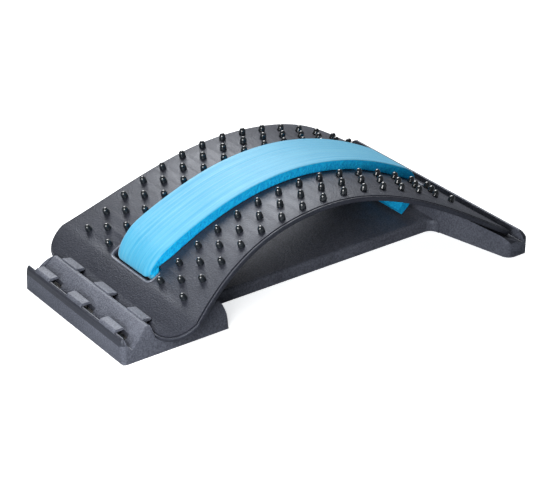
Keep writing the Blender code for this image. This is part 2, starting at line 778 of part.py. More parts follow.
def build_plate():
    rings = []
    for inset, height in flange_section():
        rings.append([(s, y, height) for s, y in plate_outline(inset)])
    bm = bmesh.new()
    loft(bm, rings)
    strip = ARCH_LENGTH / ARCH_STRIPS
    for i in range(1, ARCH_STRIPS):
        geometry = bm.verts[:] + bm.edges[:] + bm.faces[:]
        bmesh.ops.bisect_plane(
            bm, geom=geometry, dist=0.002 * mm, plane_co=(i * strip, 0, 0), plane_no=(1, 0, 0))
    flat = add_object("arch_plate_flat", bm, CUTTERS)
    flat.hide_render = True
    flat.display_type = "WIRE"

    depth = FLANGE_HEIGHT + WALL
    bm = bmesh.new()
    for start in SLOT_STARTS:
        prism(bm, slot_plan(start, 0), "Z", -depth, depth)
    boolean(flat, "DIFFERENCE", add_cutter("slots", bm))

    bm = bmesh.new()
    for start in SLOT_STARTS:
        low = [(s, y, -SLOT_LIP_DEPTH) for s, y in slot_plan(start, 0)]
        high = [(s, y, 0.2 * mm) for s, y in slot_plan(start, SLOT_LIP_WIDTH)]
        loft(bm, [low, high])
    boolean(flat, "DIFFERENCE", add_cutter("slot_lips", bm))

    bm = bmesh.new()
    reach = (HOOK_REACH + HOOK_CLEARANCE) / math.cos(END_SLOPE) + HOOK_CLEARANCE
    for y in HOOK_PLACES:
        side = HOOK_WIDTH / 2 + HOOK_CLEARANCE
        box(bm, (-depth, y - side, -depth), (reach, y + side, depth))
    boolean(flat, "DIFFERENCE", add_cutter("notches", bm))

    bm = bmesh.new()
    rounding = math.cos(math.pi / HOLE_SIDES)
    hole = (STEM_RADIUS + STEM_FIT) / rounding
    for number in range(POINT_ROWS):
        for s, y in cluster_places(number):
            for side in (-1, 1):
                bmesh.ops.create_cone(
                    bm, cap_ends=True, segments=HOLE_SIDES, radius1=hole, radius2=hole,
                    depth=2 * PLATE_THICKNESS,
                    matrix=Matrix.Translation((s, side * y, -PLATE_THICKNESS / 2)))
    boolean(flat, "DIFFERENCE", add_cutter("point_holes", bm))

    bm = evaluated(flat)
    bend_to_arch(bm)
    return add_object("arch_plate", bm, PARTS, PLATE_PLASTIC)


# Massage points
def point_profile():
    # Radius and height above the plate, from the tip down to the stem's foot in the web
    seat = TOUCH_GAP
    top = POINT_HEIGHT
    foot = -PLATE_THICKNESS - TOUCH_GAP - 0.5 * WEB_THICKNESS
    return [
        (0, top),
        (0.55 * POINT_RADIUS, top - 0.14 * POINT_HEIGHT),
        (0.90 * POINT_RADIUS, top - 0.40 * POINT_HEIGHT),
        (POINT_RADIUS, seat),
        (STEM_RADIUS, seat),
        (STEM_RADIUS, foot),
        (0, foot),
    ]


def turned_point(s, y):
    bm = bmesh.new()
    line = [bm.verts.new((radius, 0, height)) for radius, height in point_profile()]
    for a, b in zip(line, line[1:]):
        bm.edges.new((a, b))
    mesh = bpy.data.meshes.new("point")
    bm.to_mesh(mesh)
    bm.free()
    point = bpy.data.objects.new("point", mesh)
    point.location = (s, y, 0)
    point.hide_render = True
    point.display_type = "WIRE"
    CUTTERS.objects.link(point)
    screw = point.modifiers.new("turn", "SCREW")
    screw.axis = "Z"
    screw.steps = POINT_SIDES
    screw.render_steps = POINT_SIDES
    screw.use_merge_vertices = True
    screw.merge_threshold = 0.01 * mm
    screw.use_normal_calculate = True
    return point


def web_outline(places):
    # A band of constant width along the line through the insert's points
    half = WEB_WIDTH / 2
    line = [Vector(place) for place in places]
    left = []
    right = []
    for i, here in enumerate(line):
        before = (here - line[i - 1]).normalized() if i > 0 else None
        after = (line[i + 1] - here).normalized() if i + 1 < len(line) else None
        along = ((before or after) + (after or before)).normalized()
        across = Vector((along.y, -along.x))
        stretch = half / max(abs((before or after).dot(along)), 0.3)
        end = half * ((after is None) - (before is None))
        left.append(tuple(here + along * end + across * stretch))
        right.append(tuple(here + along * end - across * stretch))
    return left + list(reversed(right))


def build_cluster(number, side):
    name = "points_%s_%02d" % ("left" if side > 0 else "right", number + 1)
    places = [(s, side * y) for s, y in cluster_places(number)]
    top = -PLATE_THICKNESS - TOUCH_GAP
    bm = bmesh.new()
    prism(bm, web_outline(places), "Z", top - WEB_THICKNESS, top)
    flat = add_cutter(name + "_flat", bm)
    for s, y in places:
        boolean(flat, "UNION", turned_point(s, y))
    bm = evaluated(flat)
    bend_to_arch(bm)
    return add_object(name, bm, PARTS, POINT_RUBBER)


# Foam pad
def turned(centre, radius, start, turn, steps):
    # Pairs of outer and inner points round a bend; angles run from +X towards +Z
    pairs = []
    half = PAD_TAIL_THICKNESS / 2
    for k in range(steps + 1):
        angle = start + turn * k / steps
        spoke = Vector((math.cos(angle), math.sin(angle)))
        outer = centre + spoke * (radius + half)
        inner = centre + spoke * (radius - half)
        pairs.append((outer, inner))
    return pairs


def tail(start, radius, side, turn):
    # Leaves start straight down and bends under the arch: side is 1 towards +X, -1 towards -X
    centre = start + Vector((side * radius, 0))
    first = math.pi if side > 0 else 0.0
    pairs = turned(centre, radius, first, side * turn, 4)
    outer, inner = pairs[-1]
    across = (inner - outer).normalized()
    along = Vector((across.y, -across.x)) * side
    pairs.append((outer + along * TAIL_RUN, inner + along * TAIL_RUN))
    return pairs


def on_plane(s, n):
    place = on_arch(s, 0, n)
    return Vector((place.x, place.z))


def pad_lines():
    # Pairs of outer and inner points from the near tail's end to the far tail's end
    near_low = SLOT_STARTS[0]
    near_high = near_low + SLOT_LENGTH
    far_low = SLOT_STARTS[1]
    far_high = far_low + SLOT_LENGTH
    lift = TOUCH_GAP
    edge = 0.4 * mm
    half = PAD_TAIL_THICKNESS / 2

    near_start = on_plane(near_low + 2 * half, TOUCH_GAP - PLATE_THICKNESS)
    pairs = list(reversed(tail(near_start, NEAR_TAIL_RADIUS, 1, NEAR_TAIL_TURN)))
    pairs.append((on_plane(near_low + 2 * edge, -edge), on_plane(near_high - edge, -2 * edge)))

    # The foam stands steeply out of the near slot and rolls over to a full, swollen end
    steps = 8
    for k in range(1, steps + 1):
        part = k / steps
        s = near_low + 2 * edge + NEAR_RISE * part ** 1.3
        rise = math.sin(math.pi / 2 * part) ** 0.75
        inner = max(s, near_high - edge + 0.35 * (s - near_low)) if k > 1 else near_high - edge
        pairs.append((on_plane(s, PAD_NEAR_THICKNESS * rise), on_plane(inner, lift)))

    first = near_low + NEAR_RISE + 2 * edge
    last = far_low + SLOT_LENGTH / 2 - FAR_DROP + half
    count = 13
    for k in range(1, count + 1):
        part = k / count
        s = first + (last - first) * part
        ease = min(part / 0.2, 1.0)
        ease = ease * ease * (3 - 2 * ease)
        thick = PAD_NEAR_THICKNESS + (PAD_THICKNESS - PAD_NEAR_THICKNESS) * ease
        pairs.append((on_plane(s, thick), on_plane(s, lift)))

    # Over the far slot's inner edge, then straight down through the slot
    top = last + FAR_DROP - half
    for k in range(1, 5):
        turn = math.pi / 2 * k / 5
        s = last + (top - last) * math.sin(turn)
        inner = last + (far_low + edge - last) * k / 4
        pairs.append((on_plane(s, PAD_THICKNESS * math.cos(turn)), on_plane(inner, lift)))
    pairs.append((on_plane(top + edge, -edge), on_plane(far_low + 2 * edge, -2 * edge)))
    far_start = on_plane(far_high - half - 2 * edge, -PLATE_THICKNESS - 6 * edge)
    pairs += tail(far_start, FAR_TAIL_RADIUS, -1, FAR_TAIL_TURN)
    return pairs


def pad_ring(outer, inner, half, soft):
    # Ribbed outer face with rounded edges, then the plain inner one; depths are from the outer face
    across = outer - inner
    thick = across.length
    soft = min(soft, 0.45 * thick)
    foot = 0.5 * PAD_EDGE_ROUND
    steps = 2 * PAD_RIBS
    ring = []
    for i in range(steps + 1):
        y = (half - soft) * (2 * i / steps - 1)
        ring.append((y, PAD_RIB_DEPTH if i % 2 == 0 else 0))
    side = []
    for turn in (math.radians(45), math.radians(90)):
        side.append((half - soft * (1 - math.sin(turn)), soft * (1 - math.cos(turn))))
    side += [(half, thick - foot), (half - foot, thick)]
    ring += side + [(-y, depth) for y, depth in reversed(side)]
    points = []
    for y, depth in ring:
        place = outer - across * (depth / thick)
        points.append((place.x, y, place.y))
    return points


def edge_round(outer):
    # The edges are rounder where the foam stands out of the near slot
    slot = on_plane(SLOT_STARTS[0], 0)
    away = min(max((outer.x - slot.x) / NEAR_RISE, 0), 1)
    return PAD_EDGE_ROUND + (PAD_NEAR_ROUND - PAD_EDGE_ROUND) * (1 - away) ** 2


def build_pad():
    rings = []
    for outer, inner in pad_lines():
        middle = (outer + inner) / 2
        squeeze = 0
        for start in SLOT_STARTS:
            slot = on_plane(start + SLOT_LENGTH / 2, 0)
            away = min((middle - slot).length / (1.6 * SLOT_LENGTH), 1)
            squeeze = max(squeeze, PAD_SQUEEZE * (1 - away))
        rings.append(pad_ring(outer, inner, PAD_WIDTH / 2 - squeeze, edge_round(outer)))
    bm = bmesh.new()
    loft(bm, rings)
    return add_object("foam_pad", bm, PARTS, FOAM)


def shade(thing, degrees):
    thing.data.shade_smooth()
    thing.data.set_sharp_from_angle(angle=math.radians(degrees))


def join_to_axis(things):
    # The arch and all that it carries hang on one empty on the lift axis
    axis = bpy.data.objects.new("lift_axis", None)
    axis.location = LIFT_AXIS
    axis.empty_display_size = 20 * mm
    PARTS.objects.link(axis)
    bpy.context.view_layer.update()
    for thing in things:
        thing.parent = axis
        thing.matrix_parent_inverse = axis.matrix_world.inverted()


def main():
    base = build_base()
    plate = build_plate()
    pad = build_pad()
    clusters = []
    for side in (-1, 1):
        clusters += [build_cluster(number, side) for number in range(POINT_ROWS)]
    shade(base, 35)
    shade(plate, 35)
    shade(pad, 50)
    for cluster in clusters:
        shade(cluster, 50)
    join_to_axis([plate, pad] + clusters)


main()
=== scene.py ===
# Back traction massager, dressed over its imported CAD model.
# X runs along the object, from the level grooves (-X) to the far seat (+X); Z is up.

import math

import bmesh
import bpy
from mathutils import Matrix, Vector, noise


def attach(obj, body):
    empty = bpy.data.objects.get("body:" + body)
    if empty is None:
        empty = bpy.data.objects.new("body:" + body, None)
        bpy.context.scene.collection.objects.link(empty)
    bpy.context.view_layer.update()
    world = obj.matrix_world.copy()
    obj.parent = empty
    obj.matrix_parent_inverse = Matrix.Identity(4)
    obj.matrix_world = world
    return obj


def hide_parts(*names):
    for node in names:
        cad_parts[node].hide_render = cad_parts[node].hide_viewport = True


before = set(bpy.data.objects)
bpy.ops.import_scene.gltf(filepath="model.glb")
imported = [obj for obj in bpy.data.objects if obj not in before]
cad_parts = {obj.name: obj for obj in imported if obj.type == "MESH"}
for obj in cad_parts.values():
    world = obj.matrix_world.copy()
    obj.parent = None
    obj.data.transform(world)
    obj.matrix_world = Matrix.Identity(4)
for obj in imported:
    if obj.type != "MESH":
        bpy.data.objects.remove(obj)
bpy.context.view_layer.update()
LIFTED = "arch"
STANDING = "base"

mm = 0.001
PAST = 20 * mm  # how far a cutting shape reaches past what it cuts

# Camera, solved from the photographed object's own grid of points and edges
SENSOR_WIDTH = 36
LENS = 121.52
CAMERA_PLACE = (-0.84931, -1.19081, 0.78865)
CAMERA_RIGHT = (0.80898, -0.58785, 0.00006)
CAMERA_UP = (0.27420, 0.37743, 0.88453)
CAMERA_BACK = (-0.51998, -0.71553, 0.46652)

# Arch line, as in the CAD model
ARCH_LENGTH = 384.6 * mm
END_SLOPE = math.radians(33.4)
EDGE_HEIGHT = 17.7 * mm
NEAR_EDGE_X = -165.21 * mm
ARCH_STEPS = 960

# Arch plate
PLATE_THICKNESS = 3.0 * mm
FLANGE_HEIGHT = 4.8 * mm
FLANGE_THICKNESS = 2.6 * mm
FLANGE_ROUND = 1.3 * mm
STEP_WIDTH = 2.5 * mm
STEP_DEPTH = 0.6 * mm
STEP_GROOVE_WIDTH = 0.9 * mm
STEP_GROOVE_DEPTH = 1.3 * mm
NEAR_HALF_WIDTH = 107 * mm
WAIST_HALF_WIDTH = 83.0 * mm
FAR_HALF_WIDTH = 117 * mm
FAR_EDGE_HALF_WIDTH = 111.5 * mm
NEAR_CORNER_RADIUS = 28 * mm
FAR_CORNER_RADIUS = 5 * mm
FAR_CORNER_TURN = 84
NEAR_SHOULDER = 28 * mm
PLATE_WAIST = 152 * mm
FAR_SHOULDER = 347 * mm
NEAR_FLARE = 2.1
FAR_FLARE = 1.6
PLATE_STRIPS = 72
SMALL = 0.01 * mm

# Notches in the near edge, round the hooks
HOOKS_IN_ROW = 3
HOOK_SPACING = 52 * mm
HOOK_PLACES = [(i - (HOOKS_IN_ROW - 1) / 2) * HOOK_SPACING for i in range(HOOKS_IN_ROW)]
NOTCH_HALF_WIDTH = 12.2 * mm
NOTCH_DEPTH = 9.36 * mm
NOTCH_CORNER = 1.2 * mm

# Massage points
POINT_HEIGHT = 6.4 * mm
POINT_RADIUS = 3.1 * mm
STEM_RADIUS = 1.4 * mm
STEM_FIT = 0.35 * mm
WEB_THICKNESS = 1.0 * mm
WEB_WIDTH = 3.6 * mm
POINT_SIDES = 24
HOLE_SIDES = 16
POINT_ROWS = 15
ROW_PITCH = 21.34 * mm
INNER_COLUMN = 40.3 * mm
COLUMN_PITCH = 16.9 * mm
POINT_GRID_SHIFT = -4.4 * mm
TOUCH_GAP = 0.3 * mm

# Foam pad and its slots
PAD_WIDTH = 55 * mm
PAD_THICKNESS = 9.8 * mm
PAD_NEAR_THICKNESS = 10.8 * mm
PAD_TAIL_THICKNESS = 8.4 * mm
PAD_SQUEEZE = 3.2 * mm
PAD_EDGE_ROUND = 1.2 * mm
PAD_NEAR_ROUND = 6.0 * mm
PAD_RIBS = 10
PAD_RIB_DEPTH = 0.2 * mm
PAD_UNEVEN = 0.12 * mm
PAD_TOP_WAVES = (38, 60)
PAD_SIDE_WAVES = (140, 260)
PAD_SIDE_HOLLOW = 0.15 * mm
PAD_EDGE_STEPS = 5
PAD_WALL_STEPS = 8
NEAR_RISE = 28 * mm
FAR_DROP = 24 * mm
TAIL_RUN = 18 * mm
NEAR_TAIL_RADIUS = 6 * mm
NEAR_TAIL_TURN = math.radians(90)
FAR_TAIL_RADIUS = 9 * mm
FAR_TAIL_TURN = math.radians(50.5)
SLOT_STARTS = [33 * mm, 329.6 * mm]
SLOT_LENGTH = 15 * mm
SLOT_CORNER_RADIUS = 3.5 * mm
SLOT_SIDE_GAP = 1.0 * mm
SLOT_LIP_WIDTH = 1.2 * mm
SLOT_LIP_DEPTH = 0.9 * mm
BEAD_WIDTH = 1.8 * mm
BEAD_HEIGHT = 0.9 * mm
BEAD_ROOT = 1.2 * mm

# Base: near block with its level grooves
LEVEL_PITCH = 26 * mm
LEVELS = 3
ARCH_LEVEL = 1
FRONT_X = -195.61 * mm
BACK_X = 195.61 * mm
NEAR_BLOCK_WIDTH = 160 * mm
SIDE_DRAFT = 1.3 * mm
SIDE_ROUND = 8.0 * mm
SIDE_ROUND_START = 12 * mm
RIM_HEIGHT = 22.6 * mm
RIM_ROUND_START = 13 * mm
RIM_POLISH_START = 15.5 * mm
RIM_POLISH_RUN = 3.3 * mm
RIDGE_HEIGHT = 26.0 * mm
SEAT_CLEARANCE = 0.35 * mm
GROOVE_DEPTH_LEAN = 1.6 * mm
GROOVE_SEAT_RUN = 4.0 * mm
GROOVE_SEAT_SLOPE = math.radians(46)
GROOVE_FLOOR = 0.8 * mm
RAMP_BULGE = 0.35
RIDGE_LAND = 2.8 * mm
LAST_LAND = 17 * mm
REAR_ROUND_RUN = 7 * mm
FRONT_CORNER_RADIUS = 4.5 * mm
SIDE_LIP_WIDTH = 1.4 * mm
SIDE_LIP_HEIGHT = 0.8 * mm
WALL = 2.4 * mm
RIB_THICKNESS = 2.0 * mm
RIB_PLACE = 26 * mm

# Hooks and the windows under them
HOOK_WIDTH = 23.4 * mm
HOOK_REACH = 6.9 * mm
HOOK_THICKNESS = 2.2 * mm
HOOK_TOP = 24.7 * mm
HOOK_FOOT = 19 * mm
HOOK_END_EASE = 0.45 * mm
WINDOW_REACH = 11 * mm
WINDOW_SIDE_GAP = 0.4 * mm
WINDOW_START = 0.8 * mm

# Base: waist
WAIST_WIDTH = 84.6 * mm
WAIST_HEIGHT = 11 * mm
WAIST_ROUND = 3.6 * mm
WAIST_FILLET = 9 * mm
WAIST_BAYS = 4

# Base: far block
FAR_BLOCK_WIDTH = 250.8 * mm
FAR_BLOCK_DEPTH = 40 * mm
FAR_END_DEPTH = 22.2 * mm
SEAT_SLOPE = math.radians(25)
FAR_WALL_HEIGHT = 20.3 * mm
FAR_WALL_THICKNESS = 4.85 * mm
FAR_WALL_LEAN = 1.6 * mm
FAR_WALL_END_RUN = 14 * mm
FAR_WALL_END_DROP = 7.5 * mm
FAR_WALL_END_TURN = 78
FAR_END_LEAN = 1.2 * mm
FAR_INNER_CORNER = 9 * mm
FAR_OUTER_CORNER = 4.5 * mm

# Textures: how many of their forms lie along a metre
FINE_GRAIN = 1900
COARSE_GRAIN = 700
TONE_CLOUDS = 22
RUBBED_PATCHES = 70
RUBBER_CLOUDS = 240
RUBBER_GRAIN = 1500
FOAM_STREAKS = (9, 700, 9)
FOAM_PORES = 1500
FOAM_CLOUDS = 36
FOAM_LARGE_CELLS = 620
FOAM_SMALL_CELLS = 1400
FOAM_CUT_CLOUDS = 300

# Floor, sky and lights: name, direction, distance, size, power and target
FLOOR_HALF_SIZE = 12
FLOOR_COLOUR = (0.90, 0.90, 0.90)
FLOOR_GLOW_COLOUR = (0.97, 0.985, 1.0)
FLOOR_GLOW = 0.75
FLOOR_BOUNCE = (0.28, 0.295, 0.32)
SKY_COLOUR = (0.95, 0.97, 1.0)
SKY_STRENGTH = 0.17
LIGHTS = [
    ("key", (0.26, 0.66, 0.70), 2.5, 1.9, 80, (-0.03, -0.03, 0.08)),
    ("front", (-0.72, -0.53, 0.45), 0.55, 0.4, 5.0, (-0.17, -0.08, 0.02)),
]


# Camera
def make_camera():
    data = bpy.data.cameras.new("camera")
    data.sensor_fit = "HORIZONTAL"
    data.sensor_width = SENSOR_WIDTH
    data.lens = LENS
    data.clip_start = 0.05
    data.clip_end = 30
    camera = bpy.data.objects.new("camera", data)
    bpy.context.scene.collection.objects.link(camera)
    turn = Matrix((CAMERA_RIGHT, CAMERA_UP, CAMERA_BACK)).transposed().to_4x4()
    camera.matrix_world = Matrix.Translation(CAMERA_PLACE) @ turn
    bpy.context.scene.camera = camera


make_camera()


# Mesh helpers
def add_object(name, bm, looks=()):
    bmesh.ops.recalc_face_normals(bm, faces=bm.faces)
    mesh = bpy.data.meshes.new(name)
    bm.to_mesh(mesh)
    bm.free()
    made = bpy.data.objects.new(name, mesh)
    bpy.context.scene.collection.objects.link(made)
    for look in looks:
        mesh.materials.append(look)
    return made


def remove(thing):
    mesh = thing.data
    bpy.data.objects.remove(thing, do_unlink=True)
    if mesh is not None and mesh.users == 0:
        bpy.data.meshes.remove(mesh)


def evaluated(thing):
    bpy.context.view_layer.update()
    graph = bpy.context.evaluated_depsgraph_get()
    mesh = bpy.data.meshes.new_from_object(thing.evaluated_get(graph))
    bm = bmesh.new()
    bm.from_mesh(mesh)
    bpy.data.meshes.remove(mesh)
    return bm


def cut(bm, tools, operation="DIFFERENCE"):
    # Applies one Boolean for each tool mesh and returns the result
    target = add_object("cut_target", bm)
    parts = []
    for tool in tools:
        part = add_object("cut_tool", tool)
        step = target.modifiers.new("cut", "BOOLEAN")
        step.operation = operation
        step.solver = "EXACT"
        step.object = part
        parts.append(part)
    result = evaluated(target)
    for thing in parts + [target]:
        remove(thing)
    return result


def prism(bm, outline, low, high):
    # An outline of x and y, run from low to high along Z
    start = [bm.verts.new((a, b, low)) for a, b in outline]
    end = [bm.verts.new((a, b, high)) for a, b in outline]
    count = len(outline)
    for i in range(count):
        k = (i + 1) % count
        bm.faces.new((start[i], start[k], end[k], end[i]))
    bm.faces.new(list(reversed(start)))
    bm.faces.new(end)


def loft(bm, rings):
    # A closed body through rings of points, capped at both ends
    made = [[bm.verts.new(point) for point in ring] for ring in rings]
    count = len(made[0])
    for a, b in zip(made, made[1:]):
        for i in range(count):
            k = (i + 1) % count
            bm.faces.new((a[i], a[k], b[k], b[i]))
    bm.faces.new(list(reversed(made[0])))
    bm.faces.new(made[-1])


def arc(centre, radius, start, end, steps):
    points = []
    for i in range(steps + 1):
        turn = math.radians(start + (end - start) * i / steps)
        points.append((centre[0] + radius * math.cos(turn), centre[1] + radius * math.sin(turn)))
    return points


def rounded(corners, steps=6):
    # Each corner is (x, y, radius); a radius of 0 keeps it sharp
    points = []
    count = len(corners)
    for i, (x, y, radius) in enumerate(corners):
        here = Vector((x, y))
        before = (Vector(corners[i - 1][:2]) - here).normalized()
        after = (Vector(corners[(i + 1) % count][:2]) - here).normalized()
        if radius <= 0:
            points.append((x, y))
            continue
        half = before.angle(after) / 2
        back = radius / math.tan(half)
        centre = here + (before + after).normalized() * (radius / math.sin(half))
        first = here + before * back - centre
        last = here + after * back - centre
        turn = first.angle_signed(last)
        for k in range(steps + 1):
            spoke = first.copy()
            spoke.rotate(Matrix.Rotation(-turn * k / steps, 2))
            points.append(tuple(centre + spoke))
    return points


def shade(thing, degrees):
    thing.data.shade_smooth()
    thing.data.set_sharp_from_angle(angle=math.radians(degrees))


# Arch line: a strip buckled between two stops, whose slope falls as a cosine along it
def arch_slope(s):
    inside = min(max(s, 0.0), ARCH_LENGTH)
    return END_SLOPE * math.cos(math.pi * inside / ARCH_LENGTH)


def integrate_arch():
    step = ARCH_LENGTH / ARCH_STEPS
    line = [(0.0, 0.0)]
    for i in range(ARCH_STEPS):
        slope = arch_slope((i + 0.5) * step)
        x, z = line[-1]
        line.append((x + step * math.cos(slope), z + step * math.sin(slope)))
    return line


ARCH_LINE = integrate_arch()


def arch_point(s):
    place = min(max(s / ARCH_LENGTH, 0.0), 1.0) * ARCH_STEPS
    i = min(int(place), ARCH_STEPS - 1)
    part = place - i
    x = ARCH_LINE[i][0] * (1 - part) + ARCH_LINE[i + 1][0] * part
    z = ARCH_LINE[i][1] * (1 - part) + ARCH_LINE[i + 1][1] * part
    past = s - min(max(s, 0.0), ARCH_LENGTH)
    slope = arch_slope(s)
    x += past * math.cos(slope)
    z += past * math.sin(slope)
    return NEAR_EDGE_X + x, EDGE_HEIGHT + z


def on_arch(s, y, n):
    x, z = arch_point(s)
    slope = arch_slope(s)
    return Vector((x - n * math.sin(slope), y, z + n * math.cos(slope)))


def bend_to_arch(bm):
    for vert in bm.verts:
        s, y, n = vert.co
        vert.co = on_arch(s, y, n)


# Materials
class Nodes:
    # A short way to add and join a material's nodes
    def __init__(self, name):
        self.made = bpy.data.materials.new(name)
        self.made.use_nodes = True
        self.tree = self.made.node_tree
        self.shader = self.tree.nodes["Principled BSDF"]
        self.place = self.add("ShaderNodeTexCoord").outputs["Object"]

    def add(self, kind, **values):
        node = self.tree.nodes.new(kind)
        for name, value in values.items():
            setattr(node, name, value)
        return node

    def join(self, source, target):
        self.tree.links.new(source, target)

    def fix(self, **values):
        for name, value in values.items():
            self.shader.inputs[name.replace("_", " ")].default_value = value

    def scaled(self, x, y, z):
        node = self.add("ShaderNodeMapping")
        node.inputs["Scale"].default_value = (x, y, z)
        self.join(self.place, node.inputs["Vector"])
        return node.outputs["Vector"]

    def noise(self, scale, detail=2.0, rough=0.5, at=None):
        node = self.add("ShaderNodeTexNoise")
        node.inputs["Scale"].default_value = scale
        node.inputs["Detail"].default_value = detail
        node.inputs["Roughness"].default_value = rough
        self.join(at or self.place, node.inputs["Vector"])
        return node.outputs["Fac"]

    def cells(self, scale):
        node = self.add("ShaderNodeTexVoronoi", feature="F1")
        node.inputs["Scale"].default_value = scale
        node.inputs["Randomness"].default_value = 1.0
        self.join(self.place, node.inputs["Vector"])
        return node.outputs["Distance"]

    def span(self, value, low, high, first, last):
        node = self.add("ShaderNodeMapRange")
        node.inputs["From Min"].default_value = low
        node.inputs["From Max"].default_value = high
        node.inputs["To Min"].default_value = first
        node.inputs["To Max"].default_value = last
        self.join(value, node.inputs["Value"])
        return node.outputs["Result"]

    def calc(self, a, b, operation="ADD"):
        node = self.add("ShaderNodeMath", operation=operation)
        for socket, value in zip(node.inputs, (a, b)):
            if isinstance(value, (int, float)):
                socket.default_value = value
            else:
                self.join(value, socket)
        return node.outputs["Value"]

    def blend(self, part, first, last):
        node = self.add("ShaderNodeMix", data_type="RGBA")
        for socket, value in ((node.inputs[6], first), (node.inputs[7], last)):
            if isinstance(value, tuple):
                socket.default_value = (*value, 1)
            else:
                self.join(value, socket)
        self.join(part, node.inputs[0])
        return node.outputs[2]

    def bump(self, height, distance, under=None):
        node = self.add("ShaderNodeBump")
        node.inputs["Distance"].default_value = distance
        node.inputs["Strength"].default_value = 1.0
        self.join(height, node.inputs["Height"])
        if under is not None:
            self.join(under, node.inputs["Normal"])
        return node.outputs["Normal"]


def moulded_plastic(name, dark, pale, rough, grain):
    # Pebbled grain about a millimetre across, a faint cloudiness and rubbed patches
    n = Nodes(name)
    fine = n.noise(FINE_GRAIN, 2.0, 0.6)
    coarse = n.noise(COARSE_GRAIN, 1.0, 0.5)
    clouds = n.noise(TONE_CLOUDS, 3.0, 0.55)
    rubs = n.noise(RUBBED_PATCHES, 4.0, 0.65, at=n.scaled(1.0, 0.25, 1.0))
    speckle = n.calc(n.span(fine, 0.30, 0.70, 0.0, 0.30), n.span(coarse, 0.36, 0.64, 0.0, 0.45))
    tone = n.calc(speckle, n.span(clouds, 0.35, 0.65, 0.0, 0.25))
    n.join(n.blend(tone, dark, pale), n.shader.inputs["Base Color"])
    wear = n.span(rubs, 0.45, 0.75, rough + 0.04, rough - 0.07)
    n.join(n.calc(wear, n.span(fine, 0.3, 0.7, -0.03, 0.03)), n.shader.inputs["Roughness"])
    height = n.calc(n.calc(fine, 0.5, "MULTIPLY"), coarse)
    n.join(n.bump(height, grain), n.shader.inputs["Normal"])
    n.fix(Specular_Tint=(0.80, 0.87, 1.0, 1), Coat_Weight=0.1, Coat_Roughness=0.36)
    return n.made


def glossy_rubber():
    n = Nodes("point_rubber_detail")
    clouds = n.noise(RUBBER_CLOUDS, 2.0, 0.5)
    tone = n.span(clouds, 0.35, 0.65, 0.0, 1.0)
    colour = n.blend(tone, (0.007, 0.010, 0.013), (0.014, 0.019, 0.023))
    n.join(colour, n.shader.inputs["Base Color"])
    n.join(n.span(clouds, 0.35, 0.65, 0.16, 0.24), n.shader.inputs["Roughness"])
    n.join(n.bump(n.noise(RUBBER_GRAIN, 2.0), 0.02 * mm), n.shader.inputs["Normal"])
    n.fix(Coat_Weight=0.8, Coat_Roughness=0.05)
    return n.made


def foam_skin():
    # The rubbed top of the foam: fine cells drawn out into streaks along the pad
    n = Nodes("foam_skin")
    streaks = n.noise(1.0, 5.0, 0.62, at=n.scaled(*FOAM_STREAKS))
    pores = n.cells(FOAM_PORES)
    clouds = n.noise(FOAM_CLOUDS, 2.0, 0.5)
    tone = n.calc(n.span(streaks, 0.34, 0.70, 0.0, 0.75), n.span(clouds, 0.3, 0.7, 0.0, 0.25))
    colour = n.blend(tone, (0.018, 0.345, 0.600), (0.108, 0.480, 0.690))
    n.join(colour, n.shader.inputs["Base Color"])
    n.join(n.span(streaks, 0.3, 0.7, 0.62, 0.5), n.shader.inputs["Roughness"])
    under = n.bump(streaks, 0.25 * mm)
    n.join(n.bump(pores, 0.10 * mm, under), n.shader.inputs["Normal"])
    n.fix(Sheen_Weight=0.25, Sheen_Roughness=0.5)
    return n.made


def foam_cut():
    # The cut side of the foam: open cells, each a dark pit with a paler wall
    n = Nodes("foam_cut")
    large = n.cells(FOAM_LARGE_CELLS)
    small = n.cells(FOAM_SMALL_CELLS)
    clouds = n.noise(FOAM_CUT_CLOUDS, 2.0, 0.6)
    pits = n.calc(n.span(large, 0.15, 0.65, 0.0, 0.6), n.span(small, 0.1, 0.6, 0.0, 0.25))
    tone = n.calc(pits, n.span(clouds, 0.35, 0.65, 0.0, 0.3))
    colour = n.blend(tone, (0.001, 0.28, 0.82), (0.014, 0.56, 1.0))
    n.join(colour, n.shader.inputs["Base Color"])
    n.fix(Roughness=0.92, Specular_IOR_Level=0.12)
    under = n.bump(large, 0.5 * mm)
    n.join(n.bump(small, 0.2 * mm, under), n.shader.inputs["Normal"])
    return n.made


# Each plastic: its name, dark and pale tone, roughness and the grain's height
BASE_LOOK = moulded_plastic(
    "base_plastic_detail", (0.040, 0.044, 0.058), (0.150, 0.160, 0.198), 0.46, 0.56 * mm)
PLATE_LOOK = moulded_plastic(
    "plate_plastic_detail", (0.012, 0.013, 0.019), (0.040, 0.043, 0.058), 0.45, 0.34 * mm)
POLISHED_LOOK = moulded_plastic(
    "base_polished_detail", (0.020, 0.021, 0.028), (0.040, 0.043, 0.055), 0.34, 0.06 * mm)
# The slot lips are painted far paler than the plate's plastic, a painted highlight along their
# rounded tops
LIP_PAINTED_HIGHLIGHT_LOOK = moulded_plastic(
    "slot_lip_painted_highlight", (0.10, 0.107, 0.13), (0.22, 0.235, 0.28), 0.30, 0.06 * mm)
POINT_LOOK = glossy_rubber()
SKIN_LOOK = foam_skin()
CUT_LOOK = foam_cut()


# Base plate: level grooves
def groove_face(level):
    edge = on_arch(0, 0, -STEP_DEPTH - 0.7 * FLANGE_ROUND)
    return edge.x - TOUCH_GAP + (level - ARCH_LEVEL) * LEVEL_PITCH


def groove_heights():
    corner = on_arch(FLANGE_ROUND, 0, FLANGE_ROUND - FLANGE_HEIGHT)
    normal = Vector((math.sin(GROOVE_SEAT_SLOPE), math.cos(GROOVE_SEAT_SLOPE)))
    offset = (corner.x - groove_face(ARCH_LEVEL)) * normal.x
    top = corner.z + (offset - FLANGE_ROUND - SEAT_CLEARANCE) / normal.y
    bottom = top - GROOVE_SEAT_RUN * math.tan(GROOVE_SEAT_SLOPE)
    return top, bottom


